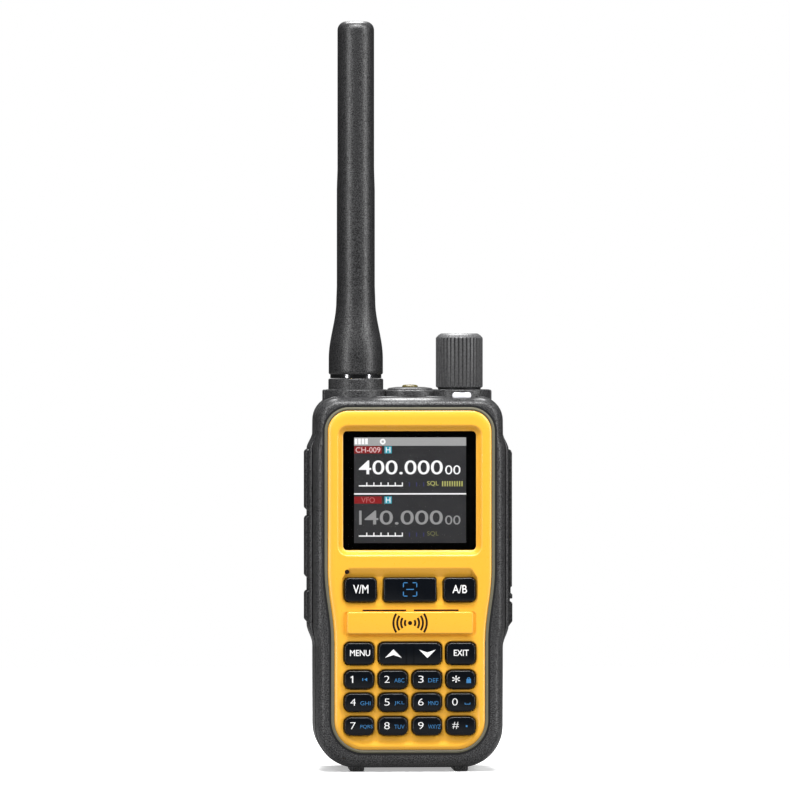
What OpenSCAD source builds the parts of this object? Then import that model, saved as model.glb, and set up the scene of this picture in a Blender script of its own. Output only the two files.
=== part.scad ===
// Handheld two way radio with a colour screen, a keypad, a stub antenna and a slide-off battery.
// Millimetres. +Z is up along the antenna, the keys face -Y, z = 0 is the floor under the feet.

/* [Case] */
// half width over the bulged middle of the case
bulge_hw = 28.9; // [27:0.1:32]
// half width of the straight lower and upper parts of the case
body_hw = 27.2; // [25:0.1:30]
// height of the underside of the case above the floor
base_z = 1.1; // [0.8:0.1:2]
// height of the shoulders
shoulder_z = 108.3; // [106:0.1:110]
// height of the raised top deck
deck_z = 110.2; // [109.6:0.1:110.6]
// half width of the top deck
deck_hw = 24.4; // [24:0.1:25.6]
// radius of the lower corners of the case
base_r = 12; // [8:0.5:14]
// radius of the shoulders
shoulder_r = 7; // [5:0.5:8]
// wall thickness of the case
wall = 2; // [1.6:0.1:2.2]
// rounding of the long front edges
edge_r = 4.3; // [3:0.1:4.3]

// distance of the feet from the middle
foot_x = 15; // [12:0.5:16]
// width of a foot
foot_w = 4.2; // [3:0.1:5]

/* [Panel] */
// half width of the panel beside the screen
panel_hw = 24; // [23:0.1:24.2]
// half width of the panel beside the keypad
panel_low_hw = 22.1; // [21.5:0.1:23]
// width of the seal around the panel
seal_w = 0.5; // [0.3:0.1:0.6]
// half width of the window
window_hw = 19.2; // [18.5:0.1:19.4]
// lower edge of the window
window_z0 = 63.9; // [63.5:0.1:65]
// upper edge of the window
window_z1 = 98.3; // [97.5:0.1:98.4]
// width of the sloping edge around the window
bevel = 1.6; // [1:0.1:2]

/* [Keys] */
// width of a keypad key
key_w = 8.5; // [7.5:0.1:8.6]
// height of a keypad key
key_h = 5.3; // [4.8:0.1:5.4]
// distance between key columns
key_pitch = 9.77; // [9.6:0.01:10]
// gap around each key
key_gap = 0.3; // [0.3:0.05:0.4]
// how far the keys stand out of the panel
key_rise = 1; // [0.6:0.1:1.2]

/* [Top] */
// antenna and knob distance from the middle
top_x = 15; // [14.5:0.1:15.2]
// height of the antenna tip
antenna_top = 216.6; // [180:0.1:240]
// knob diameter
knob_d = 13.6; // [12:0.1:14]
// height of the knob top
knob_top = 126.4; // [122:0.1:128]
// number of grip ribs on the knob
knob_ribs = 36; // [24:1:48]

/* [Battery] */
// travel that frees the battery from its hooks
battery_travel = 12; // [12:0.5:14]
// top of the battery
battery_z = 88; // [86:0.1:88]

/* [Hidden] */
$fn = 48;
face_y = -16.8;                    // flat of the case around the panel
panel_y = face_y - 0.6;            // panel surface
recess_y = face_y + 1;             // bottom of the panel recess
inner_y = face_y + 2.4;            // inside of the front wall
rim_y = 3;                         // parting line of the front case
plate_y = rim_y + 0.4;             // chassis plate, front and back
plate_y1 = 6;
pack_y = 6.3;                      // battery, front, lid and back
lid_y = 16.4;
pack_y1 = 18.6;
hump_y = 17.6;
back_inset = 1.2;                  // the hump and the battery are narrower than the case
back_r = 5;                        // rounding of their long rear edges
hump_z = 88.4;
top_y = -5;                        // axis of the antenna and the knob
key_y = panel_y - key_rise;
flange_y = inner_y + 0.2;
mat_y = -12.3;
board_y = -10.8;
board_y1 = -9.6;
side_y0 = -11.3;                   // side keys and jack flap, front and back edges
side_y1 = -1.3;
side_x = bulge_hw + 1.1;
jack_y = -6;
jack_z = [70.5, 81.9];             // small and large accessory sockets
jack_r = [1.3, 1.8];
flap_pivot = [29.3, 52.3];         // x and z of the flap hinge
low_screw = [23.6, 24];
high_screw = [23, 96.5];
hook_z = [14, 62];                 // battery hooks
hook_h = 6;
hook_x = [20, 21.2, 22.6];         // stem, its outer side and the outer side of the head
hook_y = [7.4, 8.4];               // front and back of the hook's head
slack = 0.3;                       // room round the hooks, the contacts and the side keys
plate_r = 0.6;                     // corners of the sound plate
slot_z = 46.4;                     // sound slots above the plate
slot_h = 0.45;
slot_x = [[-13.7, -1], [1.1, 14.1]];
mic = [-18.1, 57.8];               // x and z of the microphone hole
mic_r = 0.65;
pane = [-19.9, 19.9, 63.2, 99];    // window pane: left, right, bottom, top
pane_t = 0.8;
lit = [-15.95, 16.35, 66, 96.4];   // lit area of the display
speaker_box = [-15, 15, 38.4, 48.2];
antenna_x = -top_x;
socket_z = 101;                    // underside of the antenna socket
lobe_r = 9;                        // lobes of the deck round the antenna and the knob
socket_r = 4;                      // socket of the antenna where it passes the deck
ferrule_r = 5.5;                   // part of the ferrule inside the sleeve
ring_z = [113.6, 114.6];           // shiny ring under the sleeve
root_z = 121.5;                    // top of the ferrule
wire_z = [120, 211];               // radiator wire in the sleeve
wire_r = 1;
lamp_x = 0.7;
lamp_r = 2.3;
bush_r = 3.5;                      // bushing and shaft of the volume control
shaft_r = 2.45;
knob_z = 110.6;                    // underside of the knob
rib_w = 0.54;
contact_x = [-6, 0, 6];            // battery contacts, x and z
contact_w = 2.5;
contact_z = [76, 82];
charge_x = [-9, 9];                // charging contacts on the battery's back
charge_z = 12;
charge_r = 2.5;
clip_hole = [12, 101];             // blind holes for a belt clip
clip_r = 1.25;
latch_x = 8.5;                     // half width of the battery latch
latch_z = [88.8, 93.4];
latch_y = 16.3;
far = 40;                          // beyond every side of the radio
col = [-1.5, -0.5, 0.5, 1.5] * key_pitch;
row = [26.75, 20.2, 13.4];
yellow = [0.97, 0.74, 0.22];
gold = [0.85, 0.7, 0.3];
board_green = [0.1, 0.35, 0.18];
black = [0.17, 0.17, 0.18];
gloss = [0.06, 0.07, 0.09];
rubber = [0.12, 0.12, 0.12];

// ---- extrusions named after the plane of their outline ----
module xz(y0, y1) translate([0, y1, 0]) rotate([90, 0, 0]) linear_extrude(y1 - y0) children();
module xy(z0, z1) translate([0, 0, z0]) linear_extrude(z1 - z0) children();
module yz(x0, x1) translate([x0, 0, 0]) rotate([90, 0, 90]) linear_extrude(x1 - x0) children();
module block(x0, x1, y0, y1, z0, z1) translate([x0, y0, z0]) cube([x1 - x0, y1 - y0, z1 - z0]);
module pair() {
    children();
    mirror([1, 0, 0]) children();
}

// rounded rectangle between two corners
module rr(x0, x1, y0, y1, r) {
    translate([x0 + r, y0]) square([x1 - x0 - 2 * r, y1 - y0]);
    translate([x0, y0 + r]) square([x1 - x0, y1 - y0 - 2 * r]);
    for (x = [x0 + r, x1 - r], y = [y0 + r, y1 - r]) translate([x, y]) circle(r);
}

// cylinders along +Y, +X and +Z between two ends
module rod_y(x, z, r, y0, y1) translate([x, y1, z]) rotate([90, 0, 0]) cylinder(r = r, h = y1 - y0);
module rod_x(y, z, r, x0, x1) translate([x0, y, z]) rotate([0, 90, 0]) cylinder(r = r, h = x1 - x0);
module rod_z(x, r, z0, z1) translate([x, top_y, z0]) cylinder(r = r, h = z1 - z0);

// outline of the case from the front, drawn in by d
module outline(d = 0) {
    bx = body_hw - base_r;
    sx = body_hw - shoulder_r;
    half = [[bx, base_z + d], [body_hw - d, base_z + base_r], [body_hw - d, 36.9], [bulge_hw - d, 41.2],
        [bulge_hw - d, 93.3], [body_hw - d, 97.3], [body_hw - d, shoulder_z - shoulder_r],
        [sx, shoulder_z - d]];
    n = len(half);
    polygon(concat(half, [for (i = [n - 1:-1:0]) [-half[i][0], half[i][1]]]));
    for (s = [-1, 1]) {
        translate([s * bx, base_z + base_r]) circle(base_r - d);
        translate([s * sx, shoulder_z - shoulder_r]) circle(shoulder_r - d);
    }
}

// half width of the panel at height z: it narrows in an S curve beside the sound plate
function panel_x(z) = let (t = min(1, max(0, (z - 37.7) / 20.6)))
    panel_low_hw + (panel_hw - panel_low_hw) * (1 - cos(180 * t)) / 2;

module panel_outline(d = 0) {
    z0 = 6.1;
    z1 = 104.6;
    r0 = 9;
    r1 = 6.5;
    half = concat([[panel_low_hw - r0, z0 + d], [panel_low_hw - d, z0 + r0]],
        [for (z = [38:2:58]) [panel_x(z) - d, z]],
        [[panel_hw - d, z1 - r1], [panel_hw - r1, z1 - d]]);
    n = len(half);
    polygon(concat(half, [for (i = [n - 1:-1:0]) [-half[i][0], half[i][1]]]));
    for (s = [-1, 1]) {
        translate([s * (panel_low_hw - r0), z0 + r0]) circle(r0 - d);
        translate([s * (panel_hw - r1), z1 - r1]) circle(r1 - d);
    }
}

// every key as [x, z, width, height, corner radius]
function key_box(n) =
    n == "vm" ? [-14.2, 52.65, 9.3, 6.9, 1.4] :
    n == "scan" ? [0, 52.65, 15.3, 6.9, 0.9] :
    n == "ab" ? [14.3, 52.65, 9.3, 6.9, 1.4] :
    n == "menu" ? [col[0], 34.25, key_w, 6.3, 1.6] :
    n == "rocker" ? [0, 34.25, 18.2, 6.3, 1.6] :
    n == "exit" ? [col[3], 34.25, key_w, 6.3, 1.6] : [0, 0, 0, 0, 0];
function pad_box(c, r) = [col[c], row[r], key_w, key_h, 1.9];
PLAIN_KEYS = concat([for (n = ["vm", "scan", "ab", "menu", "exit"]) key_box(n)],
    [for (c = [0:3], r = [0:2]) pad_box(c, r)]);

module key_outline(k, g = 0) rr(k[0] - k[2] / 2 - g, k[0] + k[2] / 2 + g,
    k[1] - k[3] / 2 - g, k[1] + k[3] / 2 + g, k[4] + g);

// the holes that the keys pass through
module key_holes() {
    for (k = PLAIN_KEYS) key_outline(k, key_gap);
    key_outline(key_box("rocker"), key_gap + 0.15);
}

module sound_slots() for (x = slot_x) translate([x[0], slot_z]) square([x[1] - x[0], slot_h]);

// all the holes through the panel and the wall behind it
module front_holes() {
    key_holes();
    sound_slots();
    translate(mic) circle(mic_r);
}

// room for the battery contacts, or the contacts themselves
module contacts(y0, y1) for (x = contact_x)
    block(x - contact_w / 2, x + contact_w / 2, y0, y1, contact_z[0], contact_z[1]);

module key_cap(k) {
    color(gloss) {
        xz(key_y, key_y + 0.4) key_outline(k, -0.3);
        xz(key_y + 0.4, flange_y) key_outline(k);
        xz(flange_y, flange_y + 1.1) translate([k[0] - k[2] / 2 - 0.5, k[1] - k[3] / 2 - 0.5])
            square([k[2] + 1, k[3] + 1]);
    }
}

// two feet under the case or the battery
module foot(y0, y1) for (s = [-1, 1])
    block(s * foot_x - foot_w / 2, s * foot_x + foot_w / 2, y0, y1, 0, base_z + 2);

// plan of the case and the battery: rounded long edges
module plan(y0, y1, r) rr(-bulge_hw, bulge_hw, y0, y1, r);

// ---- fixed pieces ----
module front_case() color(black) difference() {
    union() {
        intersection() {
            xz(face_y, rim_y) outline();
            xy(0, 120) plan(face_y, rim_y + 10, edge_r);
            yz(-far, far) rr(face_y, rim_y + 20, base_z, shoulder_z, 3);
        }
        // raised deck: three lobes around the antenna, the torch and the knob
        intersection() {
            xy(104, deck_z) {
                for (x = [-top_x, top_x]) translate([x, top_y]) circle(lobe_r);
                translate([lamp_x, top_y]) circle(lobe_r - 1);
                rr(-deck_hw, deck_hw, top_y, rim_y, 0.5);
            }
            yz(-far, far) translate([face_y, 90]) square([rim_y - face_y, 40]);
        }
        foot(-13, 2);
    }
    difference() {
        xz(inner_y, rim_y + 1) outline(wall);
        pair() for (p = [low_screw, high_screw]) rod_y(p[0], p[1], 2.3, inner_y - 1, rim_y);
    }
    xz(face_y - 1, recess_y) panel_outline(-seal_w);
    xz(face_y - 1, inner_y + 1) {
        rr(pane[0] - 0.5, pane[1] + 0.5, pane[2] - 0.5, pane[3] + 0.5, 1.6);
        front_holes();
    }
    pair() for (p = [low_screw, high_screw]) rod_y(p[0], p[1], 1.05, -12, rim_y + 1);
    rod_z(antenna_x, socket_r, 100, 120);
    rod_z(top_x, bush_r + 0.05, 100, 120);
    rod_z(lamp_x, lamp_r + 0.1, 100, 120);
    status_window();
    for (k = SIDE_KEYS)
        block(-far, -20, side_y0 - slack, side_y1 + slack, k[0] - slack, k[1] + slack);
    for (z = jack_z) rod_x(jack_y, z, 3, 20, far);
}

module case_seal() color(rubber) xz(rim_y, plate_y) difference() {
    outline(0.5);
    outline(1.7);
}

module rear_chassis() color(black) difference() {
    union() {
        intersection() {
            union() {
                xz(plate_y, plate_y1) outline();
                intersection() {
                    xz(plate_y, hump_y) outline(back_inset);
                    block(-far, far, 0, 30, hump_z, 120);
                    xy(0, 120) plan(-20, hump_y, back_r);
                }
            }
            yz(-far, far) rr(-20, hump_y, base_z, shoulder_z, 3);
        }
        // lip that locates the front case
        intersection() {
            xz(0.5, plate_y + 1) difference() {
                outline(wall + 0.1);
                outline(wall + 1.5);
            }
            block(-far, far, 0, 5, 5, 103);
        }
        pair() for (z = hook_z) {
            block(hook_x[0], hook_x[1], plate_y1 - 1, hook_y[1], z, z + hook_h);
            block(hook_x[0], hook_x[2], hook_y[0], hook_y[1], z, z + hook_h);
        }
    }
    pair() {
        for (p = [low_screw, high_screw]) {
            rod_y(p[0], p[1], 2.7, -1, plate_y);
            rod_y(p[0], p[1], 1.2, 0, 20);
        }
        rod_y(low_screw[0], low_screw[1], 2.1, 4.6, 20);
        rod_y(high_screw[0], high_screw[1], 2.1, 16.2, 20);
        rod_y(clip_hole[0], clip_hole[1], clip_r, 9.6, 20);
    }
    block(-latch_x - 0.5, latch_x + 0.5, latch_y - slack, 20, hump_z - 1, latch_z[1] + 2.1);
    contacts(5, 7);
}

module front_panel() color(yellow) difference() {
    xz(panel_y, recess_y) panel_outline();
    // bevel around the window
    intersection() {
        xy(50, 110) polygon([[-window_hw - bevel, panel_y], [window_hw + bevel, panel_y],
            [window_hw, recess_y], [-window_hw, recess_y]]);
        yz(-30, 30) polygon([[panel_y, window_z0 - bevel], [panel_y, window_z1 + bevel],
            [recess_y, window_z1], [recess_y, window_z0]]);
    }
    // shallow scoop around the top row of keys
    xz(panel_y - 1, panel_y + 0.5) rr(-19.6, 20, 48.3, 58.9, 3);
    xz(panel_y - 1, recess_y + 1) front_holes();
}

module panel_seal() color([0.55, 0.54, 0.48]) xz(panel_y + 0.3, recess_y) difference() {
    panel_outline(-seal_w);
    panel_outline();
}

module pane_outline() rr(pane[0], pane[1], pane[2], pane[3], 1.2);

module display_window() color([0.03, 0.03, 0.04, 0.6])
    xz(recess_y, recess_y + pane_t) pane_outline();

module display_mask() color([0.01, 0.01, 0.01])
    xz(recess_y + pane_t, recess_y + pane_t + 0.2) difference() {
        pane_outline();
        translate([lit[0], lit[2]]) square([lit[1] - lit[0], lit[3] - lit[2]]);
    }

module display_module() {
    front = recess_y + pane_t + 0.2;
    color([0.35, 0.36, 0.38]) xz(front + 0.8, board_y)
        translate([-18.8, 63.8]) square([37.6, 33.6]);
    color([0.2, 0.2, 0.22]) xz(front, front + 0.8)
        translate([-17.4, 65]) square([34.8, 32.2]);
}

module sound_plate() color(yellow)
    xz(panel_y - 1.2, panel_y) rr(-18.2, 18.2, 39.9, 46.3, plate_r);

module speaker_outline(d, r)
    rr(speaker_box[0] + d, speaker_box[1] - d, speaker_box[2] + d, speaker_box[3] - d, r);

module speaker() {
    color([0.1, 0.1, 0.1]) xz(inner_y, inner_y + 0.8) difference() {
        speaker_outline(0, 4);
        speaker_outline(1.4, 3);
    }
    color([0.3, 0.3, 0.3]) xz(inner_y + 0.8, -8) speaker_outline(0, 4);
}

module microphone() color([0.7, 0.7, 0.7])
    rod_y(mic[0], mic[1] + 1.8, 2.6, inner_y, inner_y + 1.4);

// opening of the board and the keypad mat around the speaker
module speaker_room() rr(speaker_box[0] - 0.5, speaker_box[1] + 0.5, 38, 48.6, 4.2);

module main_board() color(board_green) xz(board_y, board_y1) difference() {
    rr(-21, 21, 8, 95, 1);
    speaker_room();
}

module screening_can() color([0.75, 0.75, 0.77]) difference() {
    sheet = 0.4;
    block(-19.5, 11.5, board_y1, -6.2, 51, 92);
    block(-19.5 + sheet, 11.5 - sheet, board_y1 - 1, -6.2 - sheet, 51 + sheet, 92 - sheet);
}

module keypad_mat() color([0.5, 0.5, 0.52]) xz(mat_y, board_y) difference() {
    rr(-20.4, 20.4, 9, 56.9, 1);
    speaker_room();
}

module screw(p, head, tip) {
    rod_y(p[0], p[1], 1, tip, head + 0.1);
    difference() {
        rod_y(p[0], p[1], 1.9, head, head + 1.2);
        for (w = [[2.2, 0.5], [0.5, 2.2]])
            xz(head + 0.6, head + 2) translate([p[0], p[1]]) square(w, center = true);
    }
}

module chassis_screws() color([0.6, 0.6, 0.62]) for (s = [-1, 1]) {
    screw([s * low_screw[0], low_screw[1]], 4.6, -8);
    screw([s * high_screw[0], high_screw[1]], 16.2, -6);
}

module antenna_collar() color(black) difference() {
    rod_z(antenna_x, 7.95, deck_z, deck_z + 3.1);
    rod_z(antenna_x, socket_r, deck_z - 1, deck_z + 9);
}

module antenna_socket() color(gold) difference() {
    union() {
        rod_z(antenna_x, 5, socket_z, shoulder_z - wall, $fn = 6);
        rod_z(antenna_x, 3.1, socket_z, socket_z + 18.5);
        rod_z(antenna_x, socket_r, socket_z + 3, ring_z[0] - 0.3);
    }
    rod_z(antenna_x, 1.2, 110, 130);
}

module torch_bezel() color(black) translate([lamp_x, top_y, deck_z]) rotate_extrude()
    polygon([[lamp_r + 0.05, 0], [6.6, 0], [6.2, 0.5], [3.6, 0.9], [lamp_r + 0.05, 0.7]]);

module torch_lens() color([0.45, 0.4, 0.12]) translate([lamp_x, top_y, 0]) rotate_extrude()
    polygon([[0, 106.5], [lamp_r, 106.5], [lamp_r, 110.9], [lamp_r - 0.6, 111.5], [0, 111.6]]);

module status_window() intersection() {
    block(12.4, 18, -15, -10, 107.2, 109.5);
    rod_z(top_x, lobe_r + 0.2, 100, 120);
}

module status_lens() color([0.95, 0.95, 0.97, 0.8]) status_window();

module volume_control() color([0.6, 0.6, 0.62]) difference() {
    union() {
        block(9.6, 20.3, -10.4, 0.3, 98.2, shoulder_z - wall);
        rod_z(top_x, bush_r, 104, knob_z - 0.3);
    }
    rod_z(top_x, shaft_r + 0.05, 99.5, 119.5);
}

module jack_block() color([0.12, 0.12, 0.13]) difference() {
    block(13, 26.8, board_y1, -2.4, 66, 87);
    for (i = [0, 1]) rod_x(jack_y, jack_z[i], jack_r[i], 14.5, far);
}

module flap_anchor() color(rubber) xz(side_y0, side_y1) {
    polygon([[bulge_hw, 49.6], [side_x, 49.8], [side_x, 51.2], [29.6, 51.6], [bulge_hw, 51.6]]);
    polygon([[bulge_hw, 41.6], [side_x, 43.2], [side_x, 48.4], [29.4, 49], [29.4, 49.7], [bulge_hw, 49.7]]);
}

module battery_terminals() color(gold) contacts(5, plate_y1 + 0.1);

// side keys as [bottom, top]
SIDE_KEYS = [[75, 93], [55.5, 73.8], [42.7, 52.2]];

module side_switches() color(board_green) {
    block(-24.6, -23.9, -10, 0.2, 44, 92);
    for (k = SIDE_KEYS) rod_x(jack_y, (k[0] + k[1]) / 2, 1.6, -25.1, -24.5);
}

// ---- keys ----
module key_vm() key_cap(key_box("vm"));
module key_scan() key_cap(key_box("scan"));
module key_ab() key_cap(key_box("ab"));
module key_menu() key_cap(key_box("menu"));
module key_exit() key_cap(key_box("exit"));
module key_1() key_cap(pad_box(0, 0));
module key_2() key_cap(pad_box(1, 0));
module key_3() key_cap(pad_box(2, 0));
module key_star() key_cap(pad_box(3, 0));
module key_4() key_cap(pad_box(0, 1));
module key_5() key_cap(pad_box(1, 1));
module key_6() key_cap(pad_box(2, 1));
module key_0() key_cap(pad_box(3, 1));
module key_7() key_cap(pad_box(0, 2));
module key_8() key_cap(pad_box(1, 2));
module key_9() key_cap(pad_box(2, 2));
module key_hash() key_cap(pad_box(3, 2));

// up and down in one cap that tilts about its middle
module key_rocker() color(gloss) {
    k = key_box("rocker");
    difference() {
        union() {
            xz(key_y, key_y + 0.4) key_outline(k, -0.3);
            xz(key_y + 0.4, -13.6) key_outline(k);
        }
        for (x = [-1.1, 1.1]) block(x - 0.1, x + 0.1, key_y - 1, key_y + 0.2, 30, 40);
    }
    xz(-13.9, -13.1) translate([-9.6, 30.6]) square([19.2, 7.3]);
}

// a side key: rounded upper end, chamfered lower end, with a flange inside the wall
module side_key(k) color(black) {
    z0 = k[0];
    z1 = k[1];
    r = 1.1;
    xz(side_y0, side_y1) {
        polygon([[-26.6, z0], [-bulge_hw, z0], [-side_x, z0 + r], [-side_x, z1 - r],
            [-side_x + r, z1], [-26.6, z1]]);
        translate([-side_x + r, z1 - r]) circle(r);
    }
    block(-26.7, -26, side_y0 - 0.5, side_y1 + 0.4, z0 - 0.5, z1 + 0.5);
}
module side_key_upper() side_key(SIDE_KEYS[0]);
module side_key_middle() side_key(SIDE_KEYS[1]);
module side_key_lower() side_key(SIDE_KEYS[2]);

// ---- knob ----
module volume_knob() color([0.3, 0.3, 0.31]) translate([top_x, top_y, 0]) difference() {
    r = knob_d / 2;
    union() {
        rotate_extrude() polygon([[0, knob_z], [r - 0.7, knob_z], [r - 0.4, knob_z + 0.3],
            [r - 0.4, knob_top - 1.3], [r - 1.4, knob_top - 0.2], [4.4, knob_top], [0, knob_top]]);
        for (i = [0:knob_ribs - 1]) rotate([0, 0, 360 * i / knob_ribs])
            translate([r - 1, -rib_w / 2, knob_z + 0.3]) cube([1, rib_w, knob_top - knob_z - 1.6]);
    }
    translate([0, 0, 100]) cylinder(r = shaft_r, h = 22);
}

module knob_shaft() color([0.7, 0.7, 0.72]) rod_z(top_x, shaft_r, 99.7, 122);

// ---- antenna ----
// radius of the sleeve: a straight foot, a flared root, then a slim mast
function step(z, z0, z1) = min(1, max(0, (z - z0) / (z1 - z0)));
function mast_r(z) = 7.85 - 1.1 * (1 - cos(180 * step(z, 119, 136)))
    - 0.15 * step(z, 136, 140) - 0.2 * step(z, 168, 174);

module antenna_sleeve() color([0.2, 0.2, 0.21]) translate([antenna_x, top_y, 0]) rotate_extrude() {
    tip = 2.5;
    r = mast_r(190);
    difference() {
        union() {
            heights = concat([ring_z[1]], [for (z = [119:136]) z], [140, 168, 174]);
            polygon(concat([[0, ring_z[1]]], [for (z = heights) [mast_r(z), z]],
                [[r, antenna_top - tip], [r - tip, antenna_top], [0, antenna_top]]));
            intersection() {
                translate([r - tip, antenna_top - tip]) circle(tip);
                translate([0, 200]) square([10, 30]);
            }
        }
        translate([-1, root_z - 21.5]) square([1 + ferrule_r, 21.5]);
        translate([-1, root_z - 0.5]) square([1 + wire_r, wire_z[1] - root_z + 0.5]);
    }
}

module antenna_ferrule() color([0.8, 0.8, 0.8]) translate([antenna_x, top_y, 0]) rotate_extrude()
    polygon([[3.15, ring_z[0]], [7.4, ring_z[0]], [7.4, ring_z[1]], [ferrule_r, ring_z[1]],
        [ferrule_r, root_z], [wire_r, root_z], [wire_r, wire_z[0]], [3.15, wire_z[0]]]);

module antenna_radiator() color([0.75, 0.5, 0.3]) rod_z(antenna_x, wire_r, wire_z[0], wire_z[1]);

// ---- jack flap ----
module jack_flap() color(rubber) {
    xz(side_y0, side_y1) {
        polygon([[28.95, 52.8], [29.7, 52.8], [side_x, 53.2], [side_x, 91.9],
            [side_x - 1.05, 93], [28.95, 93]]);
        translate([flap_pivot[0], flap_pivot[1]]) circle(0.35);
        translate([flap_pivot[0] - 0.3, flap_pivot[1]]) square([0.6, 0.8]);
    }
    for (z = jack_z) rod_x(jack_y, z, 2.4, 27.3, 29.3);
}

// ---- battery ----
module pack_body(y0, y1) intersection() {
    xz(y0, y1) outline(back_inset);
    block(-far, far, 0, 30, 0, battery_z);
    xy(0, 120) plan(-20, pack_y1, back_r);
    yz(-far, far) rr(-20, pack_y1, base_z + back_inset, 120, 3);
}

// slot for a hook: narrow where the battery is locked, wide where the hook comes in
module hook_slot(z0, z1) {
    x0 = hook_x[0] - slack;
    y1 = hook_y[1] + slack;
    block(x0, hook_x[1] + slack, pack_y - 1, y1, z0, z1);
    block(x0, hook_x[2] + slack, hook_y[0] - 0.2, y1, z0, z1);
    block(x0, hook_x[2] + slack, pack_y - 1, y1, z0 + battery_travel, z1);
}

module battery_shell() color(black) difference() {
    union() {
        pack_body(pack_y, lid_y);
        foot(9, 14);
    }
    intersection() {
        xz(9.6, lid_y + 1) outline(back_inset + wall);
        block(-far, far, 0, 30, 4.5, battery_z - 2);
    }
    pair() for (z = hook_z) hook_slot(z - slack, z + hook_h + slack + battery_travel);
    contacts(pack_y - 1, 7);
}

module battery_cover() color(black) difference() {
    pack_body(lid_y, pack_y1);
    for (x = charge_x) rod_y(x, charge_z, charge_r, 10, 30);
}

module battery_cells() color([0.25, 0.4, 0.6]) for (s = [-1, 1])
    xz(9.6, 16) rr(s * 11.6 - 11, s * 11.6 + 11, 9, 72, 2);

module battery_board() color(board_green) block(-16, 16, 9.6, 10.8, 74, 84);

module pack_contacts() color(gold) contacts(pack_y, 7);

module charge_contacts() color(gold) for (x = charge_x)
    rod_y(x, charge_z, charge_r, lid_y, pack_y1 - 0.2);

module battery_latch() color([0.22, 0.22, 0.23]) {
    block(-latch_x, latch_x, latch_y, hump_y, latch_z[0], latch_z[1]);
    for (i = [0:3]) block(2 - latch_x, latch_x - 2, hump_y - 0.1, hump_y + 0.7,
        latch_z[0] + 0.5 + i, latch_z[0] + 1 + i);
}

front_case();
case_seal();
rear_chassis();
front_panel();
panel_seal();
display_window();
display_mask();
display_module();
sound_plate();
speaker();
microphone();
main_board();
screening_can();
keypad_mat();
chassis_screws();
antenna_collar();
antenna_socket();
torch_bezel();
torch_lens();
status_lens();
volume_control();
jack_block();
flap_anchor();
battery_terminals();
side_switches();
key_vm();
key_scan();
key_ab();
key_menu();
key_rocker();
key_exit();
key_1();
key_2();
key_3();
key_star();
key_4();
key_5();
key_6();
key_0();
key_7();
key_8();
key_9();
key_hash();
side_key_upper();
side_key_middle();
side_key_lower();
volume_knob();
knob_shaft();
antenna_sleeve();
antenna_ferrule();
antenna_radiator();
jack_flap();
battery_shell();
battery_cover();
battery_cells();
battery_board();
pack_contacts();
charge_contacts();
battery_latch();
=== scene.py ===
"""Looks of a handheld two way radio: everything is built in metres, in the frame of the CAD part.

+Z is up along the antenna, the keys face -Y and the jack flap is on +X.
"""

import math

import bmesh
import bpy
import numpy as np
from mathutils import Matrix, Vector


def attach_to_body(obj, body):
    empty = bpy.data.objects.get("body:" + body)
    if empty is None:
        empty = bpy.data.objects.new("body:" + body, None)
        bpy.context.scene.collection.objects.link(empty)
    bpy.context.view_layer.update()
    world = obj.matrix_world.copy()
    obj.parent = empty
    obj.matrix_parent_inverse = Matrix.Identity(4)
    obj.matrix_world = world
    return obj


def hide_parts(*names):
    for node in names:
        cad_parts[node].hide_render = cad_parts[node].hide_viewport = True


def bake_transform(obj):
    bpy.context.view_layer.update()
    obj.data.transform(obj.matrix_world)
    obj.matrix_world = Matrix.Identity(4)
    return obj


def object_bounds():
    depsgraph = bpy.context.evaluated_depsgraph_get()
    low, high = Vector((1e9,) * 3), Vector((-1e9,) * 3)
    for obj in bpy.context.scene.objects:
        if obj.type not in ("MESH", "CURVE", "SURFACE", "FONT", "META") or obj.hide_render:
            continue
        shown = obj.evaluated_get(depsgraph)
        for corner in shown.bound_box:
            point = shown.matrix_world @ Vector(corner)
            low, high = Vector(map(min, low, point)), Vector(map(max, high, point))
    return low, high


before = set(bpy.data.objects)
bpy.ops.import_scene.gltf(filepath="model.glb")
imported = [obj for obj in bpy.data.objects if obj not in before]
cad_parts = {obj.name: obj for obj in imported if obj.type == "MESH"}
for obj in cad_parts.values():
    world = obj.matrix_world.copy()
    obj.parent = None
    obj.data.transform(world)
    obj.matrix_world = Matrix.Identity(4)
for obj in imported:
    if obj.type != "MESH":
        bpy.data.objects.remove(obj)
CAD_BOUNDS = [list(corner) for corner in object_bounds()]
MM = 0.001


# ---------------------------------------------------------------- sizes, in millimetres
FAR = 40.0  # beyond every side of the radio
SIDE_X = CAD_BOUNDS[1][0] / MM  # outer faces of the side keys and the jack flap
BACK_Y = CAD_BOUNDS[1][1] / MM  # back of the battery
ANTENNA_TOP = CAD_BOUNDS[1][2] / MM
SIDES = (("left", -1), ("right", 1))

BULGE_HW = 28.9  # half widths of the case
BODY_HW = 27.2
BASE_Z = 1.1
BASE_R = 12.0
SHOULDER_Z = 108.3
SHOULDER_R = 7.0
DECK_Z = 110.2  # top deck, with lobes round the antenna, the lamp and the knob
DECK_HW = 24.4
LOBE_R = 9.0
FACE_Y = -16.8  # case around the panel
WALL_Y = FACE_Y + 2.4  # inside of the front wall
RIM_Y = 3.0  # parting line of the case
FOOT_X = 15.0
FOOT_HW = 2.1

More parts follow.
